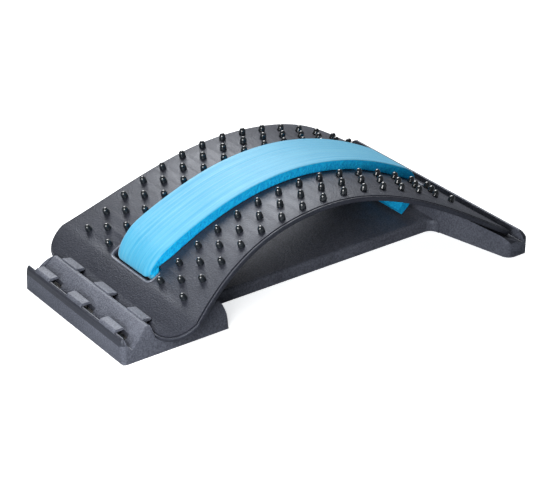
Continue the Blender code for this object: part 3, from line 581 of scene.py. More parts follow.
SEAT_TOP, GROOVE_BOTTOM = groove_heights()
LAST_RIDGE = groove_face(LEVELS) - GROOVE_DEPTH_LEAN - RIDGE_LAND
REAR_X = LAST_RIDGE + LAST_LAND + REAR_ROUND_RUN


def ramp(level, drop, steps=10):
    # From a groove's floor up to the next ridge, bulging a little
    start = groove_face(level) + GROOVE_SEAT_RUN + GROOVE_FLOOR
    end = groove_face(level + 1) - GROOVE_DEPTH_LEAN - RIDGE_LAND
    line = []
    for k in range(steps + 1):
        part = k / steps
        rise = (1 - RAMP_BULGE) * part + RAMP_BULGE * math.sin(math.pi / 2 * part)
        height = GROOVE_BOTTOM + (RIDGE_HEIGHT - GROOVE_BOTTOM) * rise - drop
        ease = 0.4 * mm if k == 0 else 1.6 * mm if k == steps else 0
        line.append((start + (end - start) * part, height, ease))
    return line


def sawtooth(drop):
    # The near block's top line, lowered by drop, each corner with its rounding
    top = RIDGE_HEIGHT - drop
    line = []
    for level in range(LEVELS):
        face = groove_face(level)
        floor = face + GROOVE_SEAT_RUN
        line.append((face, SEAT_TOP - drop, 0.5 * mm))
        line.append((floor, GROOVE_BOTTOM - drop, 0.3 * mm))
        line += ramp(level, drop)
        if level + 1 < LEVELS:
            land = groove_face(level + 1) - GROOVE_DEPTH_LEAN
            line.append((land, top - 0.6 * mm, 0.45 * mm))
    return line


def near_block_profile():
    # The front wall rolls back in a long round to the rim's inner edge
    run = groove_face(0) - GROOVE_DEPTH_LEAN - FRONT_X
    rise = RIM_HEIGHT - RIM_ROUND_START
    front = [(REAR_X, 0, 0), (FRONT_X, 0, 0.4 * mm)]
    for across, up in arc((0, 0), 1, 0, 90, 14):
        front.append((FRONT_X + run * (1 - across), RIM_ROUND_START + rise * up, 0))
    rear = [
        (REAR_X - REAR_ROUND_RUN, RIDGE_HEIGHT, 2.2 * mm),
        (REAR_X - 0.62 * REAR_ROUND_RUN, RIDGE_HEIGHT - 4 * mm, 6 * mm),
        (REAR_X - 0.26 * REAR_ROUND_RUN, RIDGE_HEIGHT - 12.5 * mm, 20 * mm),
        (REAR_X, 3.5 * mm, 4 * mm),
    ]
    return rounded(front + sawtooth(0) + rear, 4)


def near_recess_profile():
    inner_rim = groove_face(0) - GROOVE_DEPTH_LEAN
    above = RIDGE_HEIGHT + 10 * mm
    start = [
        (REAR_X + WALL, above, 0),
        (inner_rim, above, 0),
        (inner_rim, RIM_HEIGHT - 2 * mm, 0),
    ]
    end = [(REAR_X + WALL, RIDGE_HEIGHT - SIDE_LIP_HEIGHT, 0)]
    return rounded(start + sawtooth(SIDE_LIP_HEIGHT) + end, 4)


def near_hollow_profile():
    below = -WALL
    line = [(REAR_X - 2 * WALL, below), (FRONT_X + WALL, below), (FRONT_X + WALL, SEAT_TOP - WALL)]
    for level in range(LEVELS):
        face = groove_face(level)
        floor = face + GROOVE_SEAT_RUN
        low = GROOVE_BOTTOM - SIDE_LIP_HEIGHT - WALL
        line.append((floor - 0.2 * WALL, low))
        line.append((floor + GROOVE_FLOOR + 0.5 * WALL, low))
        if level + 1 < LEVELS:
            crest = groove_face(level + 1) - GROOVE_DEPTH_LEAN - WALL
            line.append((crest, RIDGE_HEIGHT - 2 * WALL))
            line.append((crest + 0.4 * WALL, SEAT_TOP - 0.5 * WALL))
    line.append((LAST_RIDGE + 0.4 * WALL, RIDGE_HEIGHT - SIDE_LIP_HEIGHT - WALL))
    line.append((REAR_X - REAR_ROUND_RUN - WALL, RIDGE_HEIGHT - SIDE_LIP_HEIGHT - WALL))
    line.append((REAR_X - 0.26 * REAR_ROUND_RUN - 1.4 * WALL, RIDGE_HEIGHT - 13 * mm))
    return line


def near_plan(inset):
    half = NEAR_BLOCK_WIDTH / 2 - inset
    return rounded([
        (FRONT_X, -half, FRONT_CORNER_RADIUS),
        (REAR_X, -half, 3 * mm),
        (REAR_X, half, 3 * mm),
        (FRONT_X, half, FRONT_CORNER_RADIUS),
    ], 10)


def near_sides():
    # The side walls lean in a little, then roll in over the ridges' ends
    levels = [(-WALL, 0)]
    for down, up in arc((0, 0), 1, 0, 90, 10):
        height = SIDE_ROUND_START + (RIDGE_HEIGHT - SIDE_ROUND_START) * up
        levels.append((height, SIDE_DRAFT + SIDE_ROUND * (1 - down)))
    levels.append((RIDGE_HEIGHT + WALL, SIDE_DRAFT + SIDE_ROUND))
    return [[(x, y, z) for x, y in near_plan(inset)] for z, inset in levels]


def cells(half, ribs):
    # The free spans along Y between two outer walls and the ribs
    edges = [-half + WALL] + list(ribs) + [half - WALL]
    spans = []
    for i in range(len(edges) - 1):
        low = edges[i] + (RIB_THICKNESS / 2 if i > 0 else 0)
        high = edges[i + 1] - (RIB_THICKNESS / 2 if i + 2 < len(edges) else 0)
        spans.append((low, high))
    return spans


# Base plate: hooks
def hook_tip(face):
    tip = face + HOOK_REACH
    under = HOOK_TOP - HOOK_THICKNESS
    return [
        (tip - 1.4 * mm, HOOK_TOP - 0.2 * mm, 2.0 * mm),
        (tip, HOOK_TOP - 1.0 * mm, 0.6 * mm),
        (tip - 0.3 * mm, under, 0.4 * mm),
        (face - 0.5 * mm, under - 0.4 * mm, 0),
    ]


def rim_hook_profile(face):
    under = HOOK_TOP - HOOK_THICKNESS
    root = [
        (face - 0.5 * mm, under - 2.6 * mm, 0),
        (FRONT_X + 3.2 * mm, under - 2.6 * mm, 0),
        (FRONT_X + 2.0 * mm, under - 1.4 * mm, 0.6 * mm),
        (FRONT_X + 2.2 * mm, HOOK_TOP - 1.5 * mm, 1.2 * mm),
        (FRONT_X + 3.9 * mm, HOOK_TOP, 2.0 * mm),
    ]
    return rounded(hook_tip(face) + root, 5)


def ridge_hook_profile(face):
    under = HOOK_TOP - HOOK_THICKNESS
    land = face - GROOVE_DEPTH_LEAN
    root = [
        (face - 0.5 * mm, under - 1.5 * mm, 0),
        (land - 0.4 * mm, under - 1.5 * mm, 0),
        (land - 1.2 * mm, RIDGE_HEIGHT - 1.2 * mm, 0.5 * mm),
        (land - 0.4 * mm, RIDGE_HEIGHT + 0.3 * mm, 1.0 * mm),
        (face + 0.6 * mm, RIDGE_HEIGHT - 0.4 * mm, 2.4 * mm),
    ]
    return rounded(hook_tip(face) + root, 5)


def hook(level, y):
    # A hook's profile run across, its two ends eased
    face = groove_face(level)
    outline = rim_hook_profile(face) if level == 0 else ridge_hook_profile(face)
    middle = Vector((
        sum(x for x, z in outline) / len(outline), sum(z for x, z in outline) / len(outline)))
    half = HOOK_WIDTH / 2
    rings = []
    steps = 3
    ends = []
    for k in range(steps + 1):
        turn = math.pi / 2 * k / steps
        back = HOOK_END_EASE * (1 - math.sin(turn))
        ends.append((half - back, HOOK_END_EASE * (1 - math.cos(turn))))
    for across, inset in [(-a, b) for a, b in reversed(ends)] + ends:
        ring = []
        for x, z in outline:
            inward = (middle - Vector((x, z))).normalized() * inset
            ring.append((x + inward.x, y + across, z + inward.y))
        rings.append(ring)
    bm = bmesh.new()
    loft(bm, rings)
    return bm


# Base plate: far block
WALL_FOOT_X = BACK_X - FAR_WALL_THICKNESS
LIFT_AXIS = on_arch(ARCH_LENGTH - FLANGE_HEIGHT / 2, 0, -FLANGE_HEIGHT / 2)
PIVOT_SWEEP = math.sqrt(2) * (FLANGE_HEIGHT / 2 - FLANGE_ROUND) + FLANGE_ROUND


def seat_height(x):
    normal = Vector((math.sin(SEAT_SLOPE), math.cos(SEAT_SLOPE)))
    foot = Vector((LIFT_AXIS.x, LIFT_AXIS.z)) - normal * (PIVOT_SWEEP + TOUCH_GAP)
    return foot.y - (x - foot.x) * math.tan(SEAT_SLOPE)


def far_block_profile():
    start = BACK_X - FAR_BLOCK_DEPTH - 5 * mm
    top = FAR_WALL_HEIGHT
    inner = WALL_FOOT_X
    return rounded([
        (start, 0, 0),
        (BACK_X, 0, 0.4 * mm),
        (BACK_X - 0.3 * FAR_WALL_LEAN, 0.5 * top, 20 * mm),
        (BACK_X - FAR_WALL_LEAN, top, 2.2 * mm),
        (inner + 0.2 * mm, top - 0.1 * mm, 0.9 * mm),
        (inner, seat_height(inner), 1.2 * mm),
        (start, seat_height(start), 0),
    ], 6)


def far_plan(inset):
    half = FAR_BLOCK_WIDTH / 2 - inset
    back = BACK_X - inset
    middle = BACK_X - FAR_BLOCK_DEPTH + inset
    end = BACK_X - FAR_END_DEPTH + inset
    bend = WAIST_WIDTH / 2 + WAIST_FILLET / 2
    inner = max(FAR_INNER_CORNER - inset, 1 * mm)
    outer = max(FAR_OUTER_CORNER - inset, 1 * mm)
    return rounded([
        (middle, -bend, FAR_INNER_CORNER),
        (end, -half, inner),
        (back, -half, outer),
        (back, half, outer),
        (end, half, inner),
        (middle, bend, FAR_INNER_CORNER),
    ], 8)


def far_elevation():
    # The far block seen along X: its wall's ends fall away in a long round
    half = FAR_BLOCK_WIDTH / 2
    low = FAR_WALL_HEIGHT - FAR_WALL_END_DROP
    shoulder = half - FAR_END_LEAN - FAR_WALL_END_RUN
    right = [(half, 0)]
    for across, up in arc((0, 0), 1, 0, FAR_WALL_END_TURN, 14):
        right.append((shoulder + across * FAR_WALL_END_RUN, low + up * FAR_WALL_END_DROP))
    right.append((shoulder, FAR_WALL_HEIGHT + 0.3 * mm))
    right.append((shoulder - 8 * mm, FAR_WALL_HEIGHT + PAST))
    return [(-y, z) for y, z in reversed(right)] + right


def far_hollow_profile():
    start = BACK_X - FAR_BLOCK_DEPTH
    inner = WALL_FOOT_X
    return [
        (start, -WALL),
        (BACK_X, -WALL),
        (BACK_X, seat_height(inner) - WALL),
        (inner, seat_height(inner) - WALL),
        (start, seat_height(start) - 1.1 * WALL),
    ]


# Base plate: waist
def waist_half_width(x):
    half = WAIST_WIDTH / 2
    middle = BACK_X - FAR_BLOCK_DEPTH
    flare = 0
    for face, radius in ((REAR_X, WAIST_FILLET / 2), (middle, WAIST_FILLET)):
        away = min(abs(x - face) if REAR_X < x < middle else 0, radius)
        if abs(x - face) < radius:
            flare = radius - math.sqrt(radius ** 2 - (radius - away) ** 2)
    return half + flare


def waist_places():
    middle = BACK_X - FAR_BLOCK_DEPTH
    near = WAIST_FILLET / 2
    steps = 10
    rise = [1 - math.sin(math.pi / 2 * (1 - i / steps)) for i in range(steps + 1)]
    places = [REAR_X - WALL]
    places += [REAR_X + near * part for part in rise]
    places += [middle - WAIST_FILLET * part for part in reversed(rise)]
    return places + [middle + WALL]


def waist_section(x):
    half = waist_half_width(x)
    right = arc((half - WAIST_ROUND, WAIST_HEIGHT - WAIST_ROUND), WAIST_ROUND, 0, 90, 8)
    right = [(half, 0)] + right
    left = [(-y, z) for y, z in reversed(right)]
    return [(x, y, z) for y, z in right + left]


def box(bm, low, high):
    size = [high[i] - low[i] for i in range(3)]
    centre = [(high[i] + low[i]) / 2 for i in range(3)]
    place = Matrix.Translation(centre) @ Matrix.Diagonal((*size, 1))
    bmesh.ops.create_cube(bm, size=1, matrix=place)


def across_y(bm, outline, low, high):
    # An outline of x and z, run from low to high along Y
    loft(bm, [[(x, y, z) for x, z in outline] for y in (low, high)])


def along_x(bm, outline, low, high):
    loft(bm, [[(x, y, z) for y, z in outline] for x in (low, high)])


def far_block():
    far_half = FAR_BLOCK_WIDTH / 2
    block, plan, elevation = bmesh.new(), bmesh.new(), bmesh.new()
    across_y(block, far_block_profile(), -far_half, far_half)
    prism(plan, far_plan(0), -WALL, FAR_WALL_HEIGHT + PAST)
    along_x(elevation, far_elevation(), BACK_X - 2 * FAR_BLOCK_DEPTH, BACK_X + WALL)
    return cut(block, [plan, elevation], "INTERSECT")


def hollows():
    half = NEAR_BLOCK_WIDTH / 2
    near = bmesh.new()
    for low, high in cells(half - SIDE_DRAFT - 0.3 * SIDE_ROUND, [-RIB_PLACE, RIB_PLACE]):
        across_y(near, near_hollow_profile(), low, high)

    waist = bmesh.new()
    waist_low = REAR_X + WALL
    bay = (BACK_X - FAR_BLOCK_DEPTH - WALL - waist_low) / WAIST_BAYS
    waist_inner = WAIST_WIDTH / 2 - WALL
    for i in range(WAIST_BAYS):
        low = waist_low + i * bay + RIB_THICKNESS / 2
        high = waist_low + (i + 1) * bay - RIB_THICKNESS / 2
        box(waist, (low, -waist_inner, -WALL), (high, waist_inner, WAIST_HEIGHT - WALL))

    far, plan = bmesh.new(), bmesh.new()
    for low, high in cells(FAR_BLOCK_WIDTH / 2, [-2 * RIB_PLACE, 0, 2 * RIB_PLACE]):
        across_y(far, far_hollow_profile(), low, high)
    prism(plan, far_plan(WALL), -2 * WALL, FAR_WALL_HEIGHT + PAST)
    return [near, waist, cut(far, [plan], "INTERSECT")]


def polished(centre, normal):
    # The rim's long round and the far trough are smoother and darker than the grained walls
    on_hook = centre.z > HOOK_FOOT and any(
        abs(centre.y - y) < HOOK_WIDTH / 2 + 0.1 * mm for y in HOOK_PLACES)
    on_rim = centre.x < FRONT_X + RIM_POLISH_RUN and centre.z > RIM_POLISH_START
    on_far_block = centre.x > BACK_X - FAR_BLOCK_DEPTH + 2 * mm
    in_trough = on_far_block and normal.z > 0.2 and centre.z < FAR_WALL_HEIGHT - 1 * mm
    return (on_rim and not on_hook) or in_trough


def dress_base():
    half = NEAR_BLOCK_WIDTH / 2
    bm, sides, recess, waist = bmesh.new(), bmesh.new(), bmesh.new(), bmesh.new()
    across_y(bm, near_block_profile(), -half - WALL, half + WALL)
    loft(sides, near_sides())
    bm = cut(bm, [sides], "INTERSECT")

    inner = half - SIDE_DRAFT - 0.5 * SIDE_ROUND - SIDE_LIP_WIDTH
    across_y(recess, near_recess_profile(), -inner, inner)
    bm = cut(bm, [recess])

    loft(waist, [waist_section(x) for x in waist_places()])
    bm = cut(bm, [waist, far_block()], "UNION")
    bm = cut(bm, hollows())

    windows = bmesh.new()
    side = HOOK_WIDTH / 2 + WINDOW_SIDE_GAP
    for level in range(LEVELS):
        face = groove_face(level)
        for y in HOOK_PLACES:
            low = (face + WINDOW_START, y - side, GROOVE_BOTTOM - 2.5 * WALL)
            box(windows, low, (face + WINDOW_REACH, y + side, RIDGE_HEIGHT))
    bm = cut(bm, [windows])
    bm = cut(bm, [hook(level, y) for level in range(LEVELS) for y in HOOK_PLACES], "UNION")

    bmesh.ops.triangulate(bm, faces=[face for face in bm.faces if len(face.verts) > 4])
    for face in bm.faces:
        face.material_index = int(polished(face.calc_center_median(), face.normal))
    base = add_object("base_plate_detail", bm, [BASE_LOOK, POLISHED_LOOK])
    shade(base, 34)
    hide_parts("base_plate")
    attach(base, STANDING)


# Arch plate
def plate_half_width(s):
    if s <= NEAR_SHOULDER:
        return NEAR_HALF_WIDTH
    if s <= PLATE_WAIST:
        left = (PLATE_WAIST - s) / (PLATE_WAIST - NEAR_SHOULDER)
        return WAIST_HALF_WIDTH + (NEAR_HALF_WIDTH - WAIST_HALF_WIDTH) * left ** NEAR_FLARE
    if s <= FAR_SHOULDER:
        part = ((s - PLATE_WAIST) / (FAR_SHOULDER - PLATE_WAIST)) ** FAR_FLARE
        ease = part * part * (3 - 2 * part)
        return WAIST_HALF_WIDTH + (FAR_HALF_WIDTH - WAIST_HALF_WIDTH) * ease
    part = (s - FAR_SHOULDER) / (ARCH_LENGTH - FAR_SHOULDER)
    return FAR_HALF_WIDTH + (FAR_EDGE_HALF_WIDTH - FAR_HALF_WIDTH) * part * part


def plate_outline(inset):
    radius = NEAR_CORNER_RADIUS
    centre = (radius, NEAR_HALF_WIDTH - radius)
    side = arc(centre, radius - inset, 180, 90, 14)
    strip = ARCH_LENGTH / PLATE_STRIPS
    last = ARCH_LENGTH - FAR_CORNER_RADIUS
    for i in range(1, PLATE_STRIPS):
        s = i * strip
        if radius + SMALL < s < last - SMALL:
            lean = (plate_half_width(s + SMALL) - plate_half_width(s - SMALL)) / (2 * SMALL)
            side.append((s, plate_half_width(s) - inset * math.hypot(1, lean)))
    centre = (last, plate_half_width(last) - FAR_CORNER_RADIUS)
    side += arc(centre, FAR_CORNER_RADIUS - inset, FAR_CORNER_TURN, 0, 6)
    return side + [(s, -y) for s, y in reversed(side)]


def flange_section():
    # Distance in from the plate's edge and height above its top face, with softened edges
    step = STEP_WIDTH
    shoulder = step - STEP_GROOVE_WIDTH
    ease = 0.15 * mm
    foot = FLANGE_ROUND - FLANGE_HEIGHT
    section = [
        (step + ease, 0),
        (step + 0.3 * ease, -0.3 * ease),
        (step, -ease),
        (step, -STEP_GROOVE_DEPTH),
        (shoulder, -STEP_GROOVE_DEPTH),
        (shoulder, -STEP_DEPTH - ease),
        (shoulder - 0.3 * ease, -STEP_DEPTH - 0.3 * ease),
        (shoulder - ease, -STEP_DEPTH),
    ]
    bend = 0.7 * FLANGE_ROUND
    for i in range(5):
        turn = math.pi / 2 * i / 4
        section.append((bend * (1 - math.sin(turn)), -STEP_DEPTH - bend * (1 - math.cos(turn))))
    for i in range(5):
        turn = math.pi / 2 * i / 4
        across = FLANGE_ROUND * (1 - math.cos(turn))
        section.append((across, foot - FLANGE_ROUND * math.sin(turn)))
    section.append((FLANGE_THICKNESS - 2 * ease, -FLANGE_HEIGHT))
    section.append((FLANGE_THICKNESS, -FLANGE_HEIGHT + 2 * ease))
    section.append((FLANGE_THICKNESS, -PLATE_THICKNESS - 2 * ease))
    section.append((FLANGE_THICKNESS + 2 * ease, -PLATE_THICKNESS))
    return section


def cluster_places(number):
    # Where the points of one insert stand, as distances along and across the plate
    span = ROW_PITCH * (POINT_ROWS - 1)
    s = (ARCH_LENGTH - span) / 2 + POINT_GRID_SHIFT + number * ROW_PITCH
    inner = (s, INNER_COLUMN)
    outer = (s, INNER_COLUMN + 2 * COLUMN_PITCH)
    if number + 1 == POINT_ROWS:
        return [inner, outer]
    return [inner, (s + ROW_PITCH / 2, INNER_COLUMN + COLUMN_PITCH), outer]


def slot_plan(start, grow):
    half = PAD_WIDTH / 2 + SLOT_SIDE_GAP + grow
    radius = SLOT_CORNER_RADIUS + grow
    return rounded([
        (start - grow, -half, radius),
        (start + SLOT_LENGTH + grow, -half, radius),
        (start + SLOT_LENGTH + grow, half, radius),
        (start - grow, half, radius),
    ], 6)


def dress_slot_lip(name, start, side):
    # A raised lip round the slot that sinks into the plate under the pad, its pale colour a painted
    # highlight; side is 1 or -1
    path = slot_plan(start, SLOT_LIP_WIDTH + BEAD_WIDTH / 2)
    count = len(path)
    middle = start + SLOT_LENGTH / 2
    half = BEAD_WIDTH / 2
    made = []
    bm = bmesh.new()
    for i in range(count):
        here = Vector(path[i])
        along = (Vector(path[(i + 1) % count]) - Vector(path[i - 1])).normalized()
        out = Vector((along.y, -along.x)) * half
        lift = min(max(0.5 - side * (here.x - middle) / SLOT_LENGTH, 0.0), 1.0)
        top = BEAD_HEIGHT * (lift - 0.35 * (1 - lift))
        ring = [(across, top * up if top > 0 else top) for across, up in arc((0, 0), 1, 0, 180, 8)]
        ring += [(-1, -BEAD_ROOT), (1, -BEAD_ROOT)]
        made.append([bm.verts.new((here.x + out.x * a, here.y + out.y * a, n)) for a, n in ring])
    for a, b in zip(made, made[1:] + made[:1]):
        for k in range(len(a)):
            m = (k + 1) % len(a)
            bm.faces.new((a[k], a[m], b[m], b[k]))
    bend_to_arch(bm)
    lip = add_object(name, bm, [LIP_PAINTED_HIGHLIGHT_LOOK])
    shade(lip, 60)
    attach(lip, LIFTED)


def dress_plate():
    rings = []
    for inset, height in flange_section():
        rings.append([(s, y, height) for s, y in plate_outline(inset)])
    bm = bmesh.new()
    loft(bm, rings)
    strip = ARCH_LENGTH / PLATE_STRIPS
    for i in range(1, PLATE_STRIPS):
        geometry = bm.verts[:] + bm.edges[:] + bm.faces[:]
        bmesh.ops.bisect_plane(
            bm, geom=geometry, dist=0.002 * mm, plane_co=(i * strip, 0, 0), plane_no=(1, 0, 0))

    depth = 3 * FLANGE_HEIGHT
    slots = bmesh.new()
    lips = bmesh.new()
    for start in SLOT_STARTS:
        prism(slots, slot_plan(start, 0), -depth, depth)
        rings = []
        for grow, n in (
                (0, -SLOT_LIP_DEPTH), (0.35, -0.30 * SLOT_LIP_DEPTH), (1.0, 0.0), (1.25, 0.2 * mm)):
            rings.append([(s, y, n) for s, y in slot_plan(start, grow * SLOT_LIP_WIDTH)])
        loft(lips, rings)

    notches = bmesh.new()
    for y in HOOK_PLACES:
        outline = rounded([
            (-depth, y - NOTCH_HALF_WIDTH, 0),
            (NOTCH_DEPTH, y - NOTCH_HALF_WIDTH, NOTCH_CORNER),
            (NOTCH_DEPTH, y + NOTCH_HALF_WIDTH, NOTCH_CORNER),
            (-depth, y + NOTCH_HALF_WIDTH, 0),
        ], 4)
        prism(notches, outline, -depth, depth)

    holes = bmesh.new()
    for number in range(POINT_ROWS):
        for s, y in cluster_places(number):
            for side in (-1, 1):
                round_hole = arc((s, side * y), STEM_RADIUS + STEM_FIT, 0, 360, HOLE_SIDES)[:-1]
                prism(holes, round_hole, -2 * PLATE_THICKNESS, PLATE_THICKNESS)

    bm = cut(bm, [slots, lips, notches, holes])
    bmesh.ops.triangulate(bm, faces=[face for face in bm.faces if len(face.verts) > 4])
    bend_to_arch(bm)
    plate = add_object("arch_plate_detail", bm, [PLATE_LOOK])
    shade(plate, 35)
    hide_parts("arch_plate")
    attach(plate, LIFTED)


# Massage points
def point_profile():
    # Radius and height above the plate: a bullet with a rounded tip and a soft foot
    line = [(0.0, POINT_HEIGHT)]
    steps = 7
    shoulder = 0.42 * POINT_HEIGHT
    for i in range(1, steps + 1):
        turn = math.pi / 2 * i / steps
        radius = 0.93 * POINT_RADIUS * math.sin(turn) ** 0.92
        line.append((radius, shoulder + (POINT_HEIGHT - shoulder) * math.cos(turn)))
    line.append((0.97 * POINT_RADIUS, 0.22 * POINT_HEIGHT))
    line.append((POINT_RADIUS, TOUCH_GAP + 0.35 * mm))
    line.append((POINT_RADIUS - 0.12 * mm, TOUCH_GAP))
    line.append((STEM_RADIUS, TOUCH_GAP))
    foot = -PLATE_THICKNESS - TOUCH_GAP - 0.5 * WEB_THICKNESS
    line.append((STEM_RADIUS, foot))
    return line


def turned_point(s, y):
    # A closed lathe form: tip, rings and a flat foot inside the web
    bm = bmesh.new()
    profile = point_profile()
    tip = bm.verts.new((s, y, profile[0][1]))
    rings = []
    for radius, height in profile[1:]:
        ring = arc((s, y), radius, 0, 360, POINT_SIDES)[:-1]
        rings.append([bm.verts.new((a, b, height)) for a, b in ring])
    for i in range(POINT_SIDES):
        k = (i + 1) % POINT_SIDES
        bm.faces.new((tip, rings[0][i], rings[0][k]))
        for a, b in zip(rings, rings[1:]):
            bm.faces.new((a[i], b[i], b[k], a[k]))
    bm.faces.new(rings[-1])
    return bm


def web_outline(places):
    # A strip through the places of a cluster's points, mitred where it bends
    half = WEB_WIDTH / 2
    line = [Vector(place) for place in places]
    left = []
    right = []
    for i, here in enumerate(line):
        before = (here - line[i - 1]).normalized() if i > 0 else None
        after = (line[i + 1] - here).normalized() if i + 1 < len(line) else None
        along = ((before or after) + (after or before)).normalized()
        across = Vector((along.y, -along.x))
        stretch = half / max(abs((before or after).dot(along)), 0.3)
        end = half * ((after is None) - (before is None))
        left.append(tuple(here + along * end + across * stretch))
        right.append(tuple(here + along * end - across * stretch))
    return left + list(reversed(right))


def dress_points():
    top = -PLATE_THICKNESS - TOUCH_GAP
    for side, word in ((1, "left"), (-1, "right")):
        for number in range(POINT_ROWS):
            node = "points_%s_%02d" % (word, number + 1)
            places = [(s, side * y) for s, y in cluster_places(number)]
            web = bmesh.new()
            prism(web, web_outline(places), top - WEB_THICKNESS, top)
            bm = cut(web, [turned_point(s, y) for s, y in places], "UNION")
            bend_to_arch(bm)
            cluster = add_object(node + "_detail", bm, [POINT_LOOK])
            shade(cluster, 45)
            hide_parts(node)
            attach(cluster, LIFTED)


# Foam pad
def turned(centre, radius, start, turn, steps):
    # Outer and inner points of a tail bent round a centre
    pairs = []
    half = PAD_TAIL_THICKNESS / 2
    for k in range(steps + 1):
        angle = start + turn * k / steps
        spoke = Vector((math.cos(angle), math.sin(angle)))
        pairs.append((centre + spoke * (radius + half), centre + spoke * (radius - half)))
    return pairs


def tail(start, radius, side, turn):
    # Goes straight down from its start and bends under the arch: side is 1 towards +X, else -1
    centre = start + Vector((side * radius, 0))
    first = math.pi if side > 0 else 0.0
    pairs = turned(centre, radius, first, side * turn, 10)
    outer, inner = pairs[-1]
    across = (inner - outer).normalized()
    along = Vector((across.y, -across.x)) * side
    steps = 4
    for k in range(1, steps + 1):
        pairs.append((outer + along * TAIL_RUN * k / steps, inner + along * TAIL_RUN * k / steps))
    return pairs


def on_plane(s, n):
    place = on_arch(s, 0, n)
    return Vector((place.x, place.z))


def pad_lines():
    # Pairs of outer and inner points from the near tail's end to the far tail's end
    near_low = SLOT_STARTS[0]
    near_high = near_low + SLOT_LENGTH
    far_low = SLOT_STARTS[1]
    far_high = far_low + SLOT_LENGTH
    edge = 0.4 * mm
    half = PAD_TAIL_THICKNESS / 2

    near_start = on_plane(near_low + 2 * half, TOUCH_GAP - PLATE_THICKNESS)
    pairs = list(reversed(tail(near_start, NEAR_TAIL_RADIUS, 1, NEAR_TAIL_TURN)))
    pairs.append((on_plane(near_low + 2 * edge, -edge), on_plane(near_high - edge, -2 * edge)))

    # The foam stands out of the near slot and leans over
    steps = 24
    for k in range(1, steps + 1):
        part = k / steps
        s = near_low + 2 * edge + NEAR_RISE * part ** 1.3
        rise = math.sin(math.pi / 2 * part) ** 0.75
        inner = max(s, near_high - edge + 0.35 * (s - near_low)) if k > 1 else near_high - edge
        pairs.append((on_plane(s, PAD_NEAR_THICKNESS * rise), on_plane(inner, TOUCH_GAP)))

    # It lies on the arch, a little thinner from the near end on
    first = near_low + NEAR_RISE + 2 * edge
    last = far_low + SLOT_LENGTH / 2 - FAR_DROP + half
    count = 56
    for k in range(1, count + 1):
        part = k / count
        s = first + (last - first) * part
        ease = min(part / 0.2, 1.0)
        ease = ease * ease * (3 - 2 * ease)
        thick = PAD_NEAR_THICKNESS + (PAD_THICKNESS - PAD_NEAR_THICKNESS) * ease
        pairs.append((on_plane(s, thick), on_plane(s, TOUCH_GAP)))

    # It turns down into the far slot
    top = last + FAR_DROP - half
    count = 12
    for k in range(1, count + 1):
        turn = math.pi / 2 * k / (count + 1)
        s = last + (top - last) * math.sin(turn)
        inner = last + (far_low + edge - last) * k / count
        pairs.append((on_plane(s, PAD_THICKNESS * math.cos(turn)), on_plane(inner, TOUCH_GAP)))
    pairs.append((on_plane(top + edge, -edge), on_plane(far_low + 2 * edge, -2 * edge)))
    far_start = on_plane(far_high - half - 2 * edge, -PLATE_THICKNESS - 6 * edge)
    pairs += tail(far_start, FAR_TAIL_RADIUS, -1, FAR_TAIL_TURN)
    return pairs


def pad_section():
    # Fractions of the half width and depths below the outer face, from -Y over the top to +Y
    per_rib = 6
    count = PAD_RIBS * per_rib
    section = []
    for i in range(count + 1):
        across = 2 * i / count - 1
        wave = 0.5 - 0.5 * math.cos(2 * math.pi * PAD_RIBS * i / count)
        section.append((across, PAD_RIB_DEPTH * (1 - wave ** 0.7)))
    return section


def edge_round(outer):
    # The edges are rounder where the foam stands out of the near slot
    slot = on_plane(SLOT_STARTS[0], 0)
    away = min(max((outer.x - slot.x) / NEAR_RISE, 0), 1)
    return PAD_EDGE_ROUND + (PAD_NEAR_ROUND - PAD_EDGE_ROUND) * (1 - away) ** 2


def pad_ring(outer, inner, half, place):
    # One section across the pad; place is how far along the pad it lies
    across = outer - inner
    thick = across.length
    down = -across / thick
    round_top = min(edge_round(outer), 0.45 * thick)
    flat = half - round_top
    ring = []
    for part, depth in pad_section():
        y = flat * part
        spot = Vector((place * PAD_TOP_WAVES[0], y * PAD_TOP_WAVES[1], 0.0))
        uneven = PAD_UNEVEN * noise.noise(spot)
        ring.append((y, depth + PAD_UNEVEN + uneven))
    first = ring[-1][1]
    for k in range(1, PAD_EDGE_STEPS + 1):
        turn = math.pi / 2 * k / PAD_EDGE_STEPS
        depth = first + (round_top - first) * (1 - math.cos(turn))
        ring.append((flat + round_top * math.sin(turn), depth))
    foot = 0.5 * PAD_EDGE_ROUND
    low = thick - foot
    for k in range(1, PAD_WALL_STEPS + 1):
        depth = round_top + (low - round_top) * k / PAD_WALL_STEPS
        spot = Vector((place * PAD_SIDE_WAVES[0], depth * PAD_SIDE_WAVES[1], 4.0))
        uneven = 0.6 * PAD_UNEVEN * noise.noise(spot)
        hollow = PAD_SIDE_HOLLOW * math.sin(math.pi * k / PAD_WALL_STEPS)
        ring.append((half - hollow + uneven - 0.6 * PAD_UNEVEN, depth))
    ring.append((half - foot, thick))
    mirrored = [(-y, depth) for y, depth in reversed(ring[len(pad_section()):])]
    points = []
    for y, depth in ring + mirrored:
        spot = outer + down * depth
        points.append((spot.x, y, spot.y))
    return points


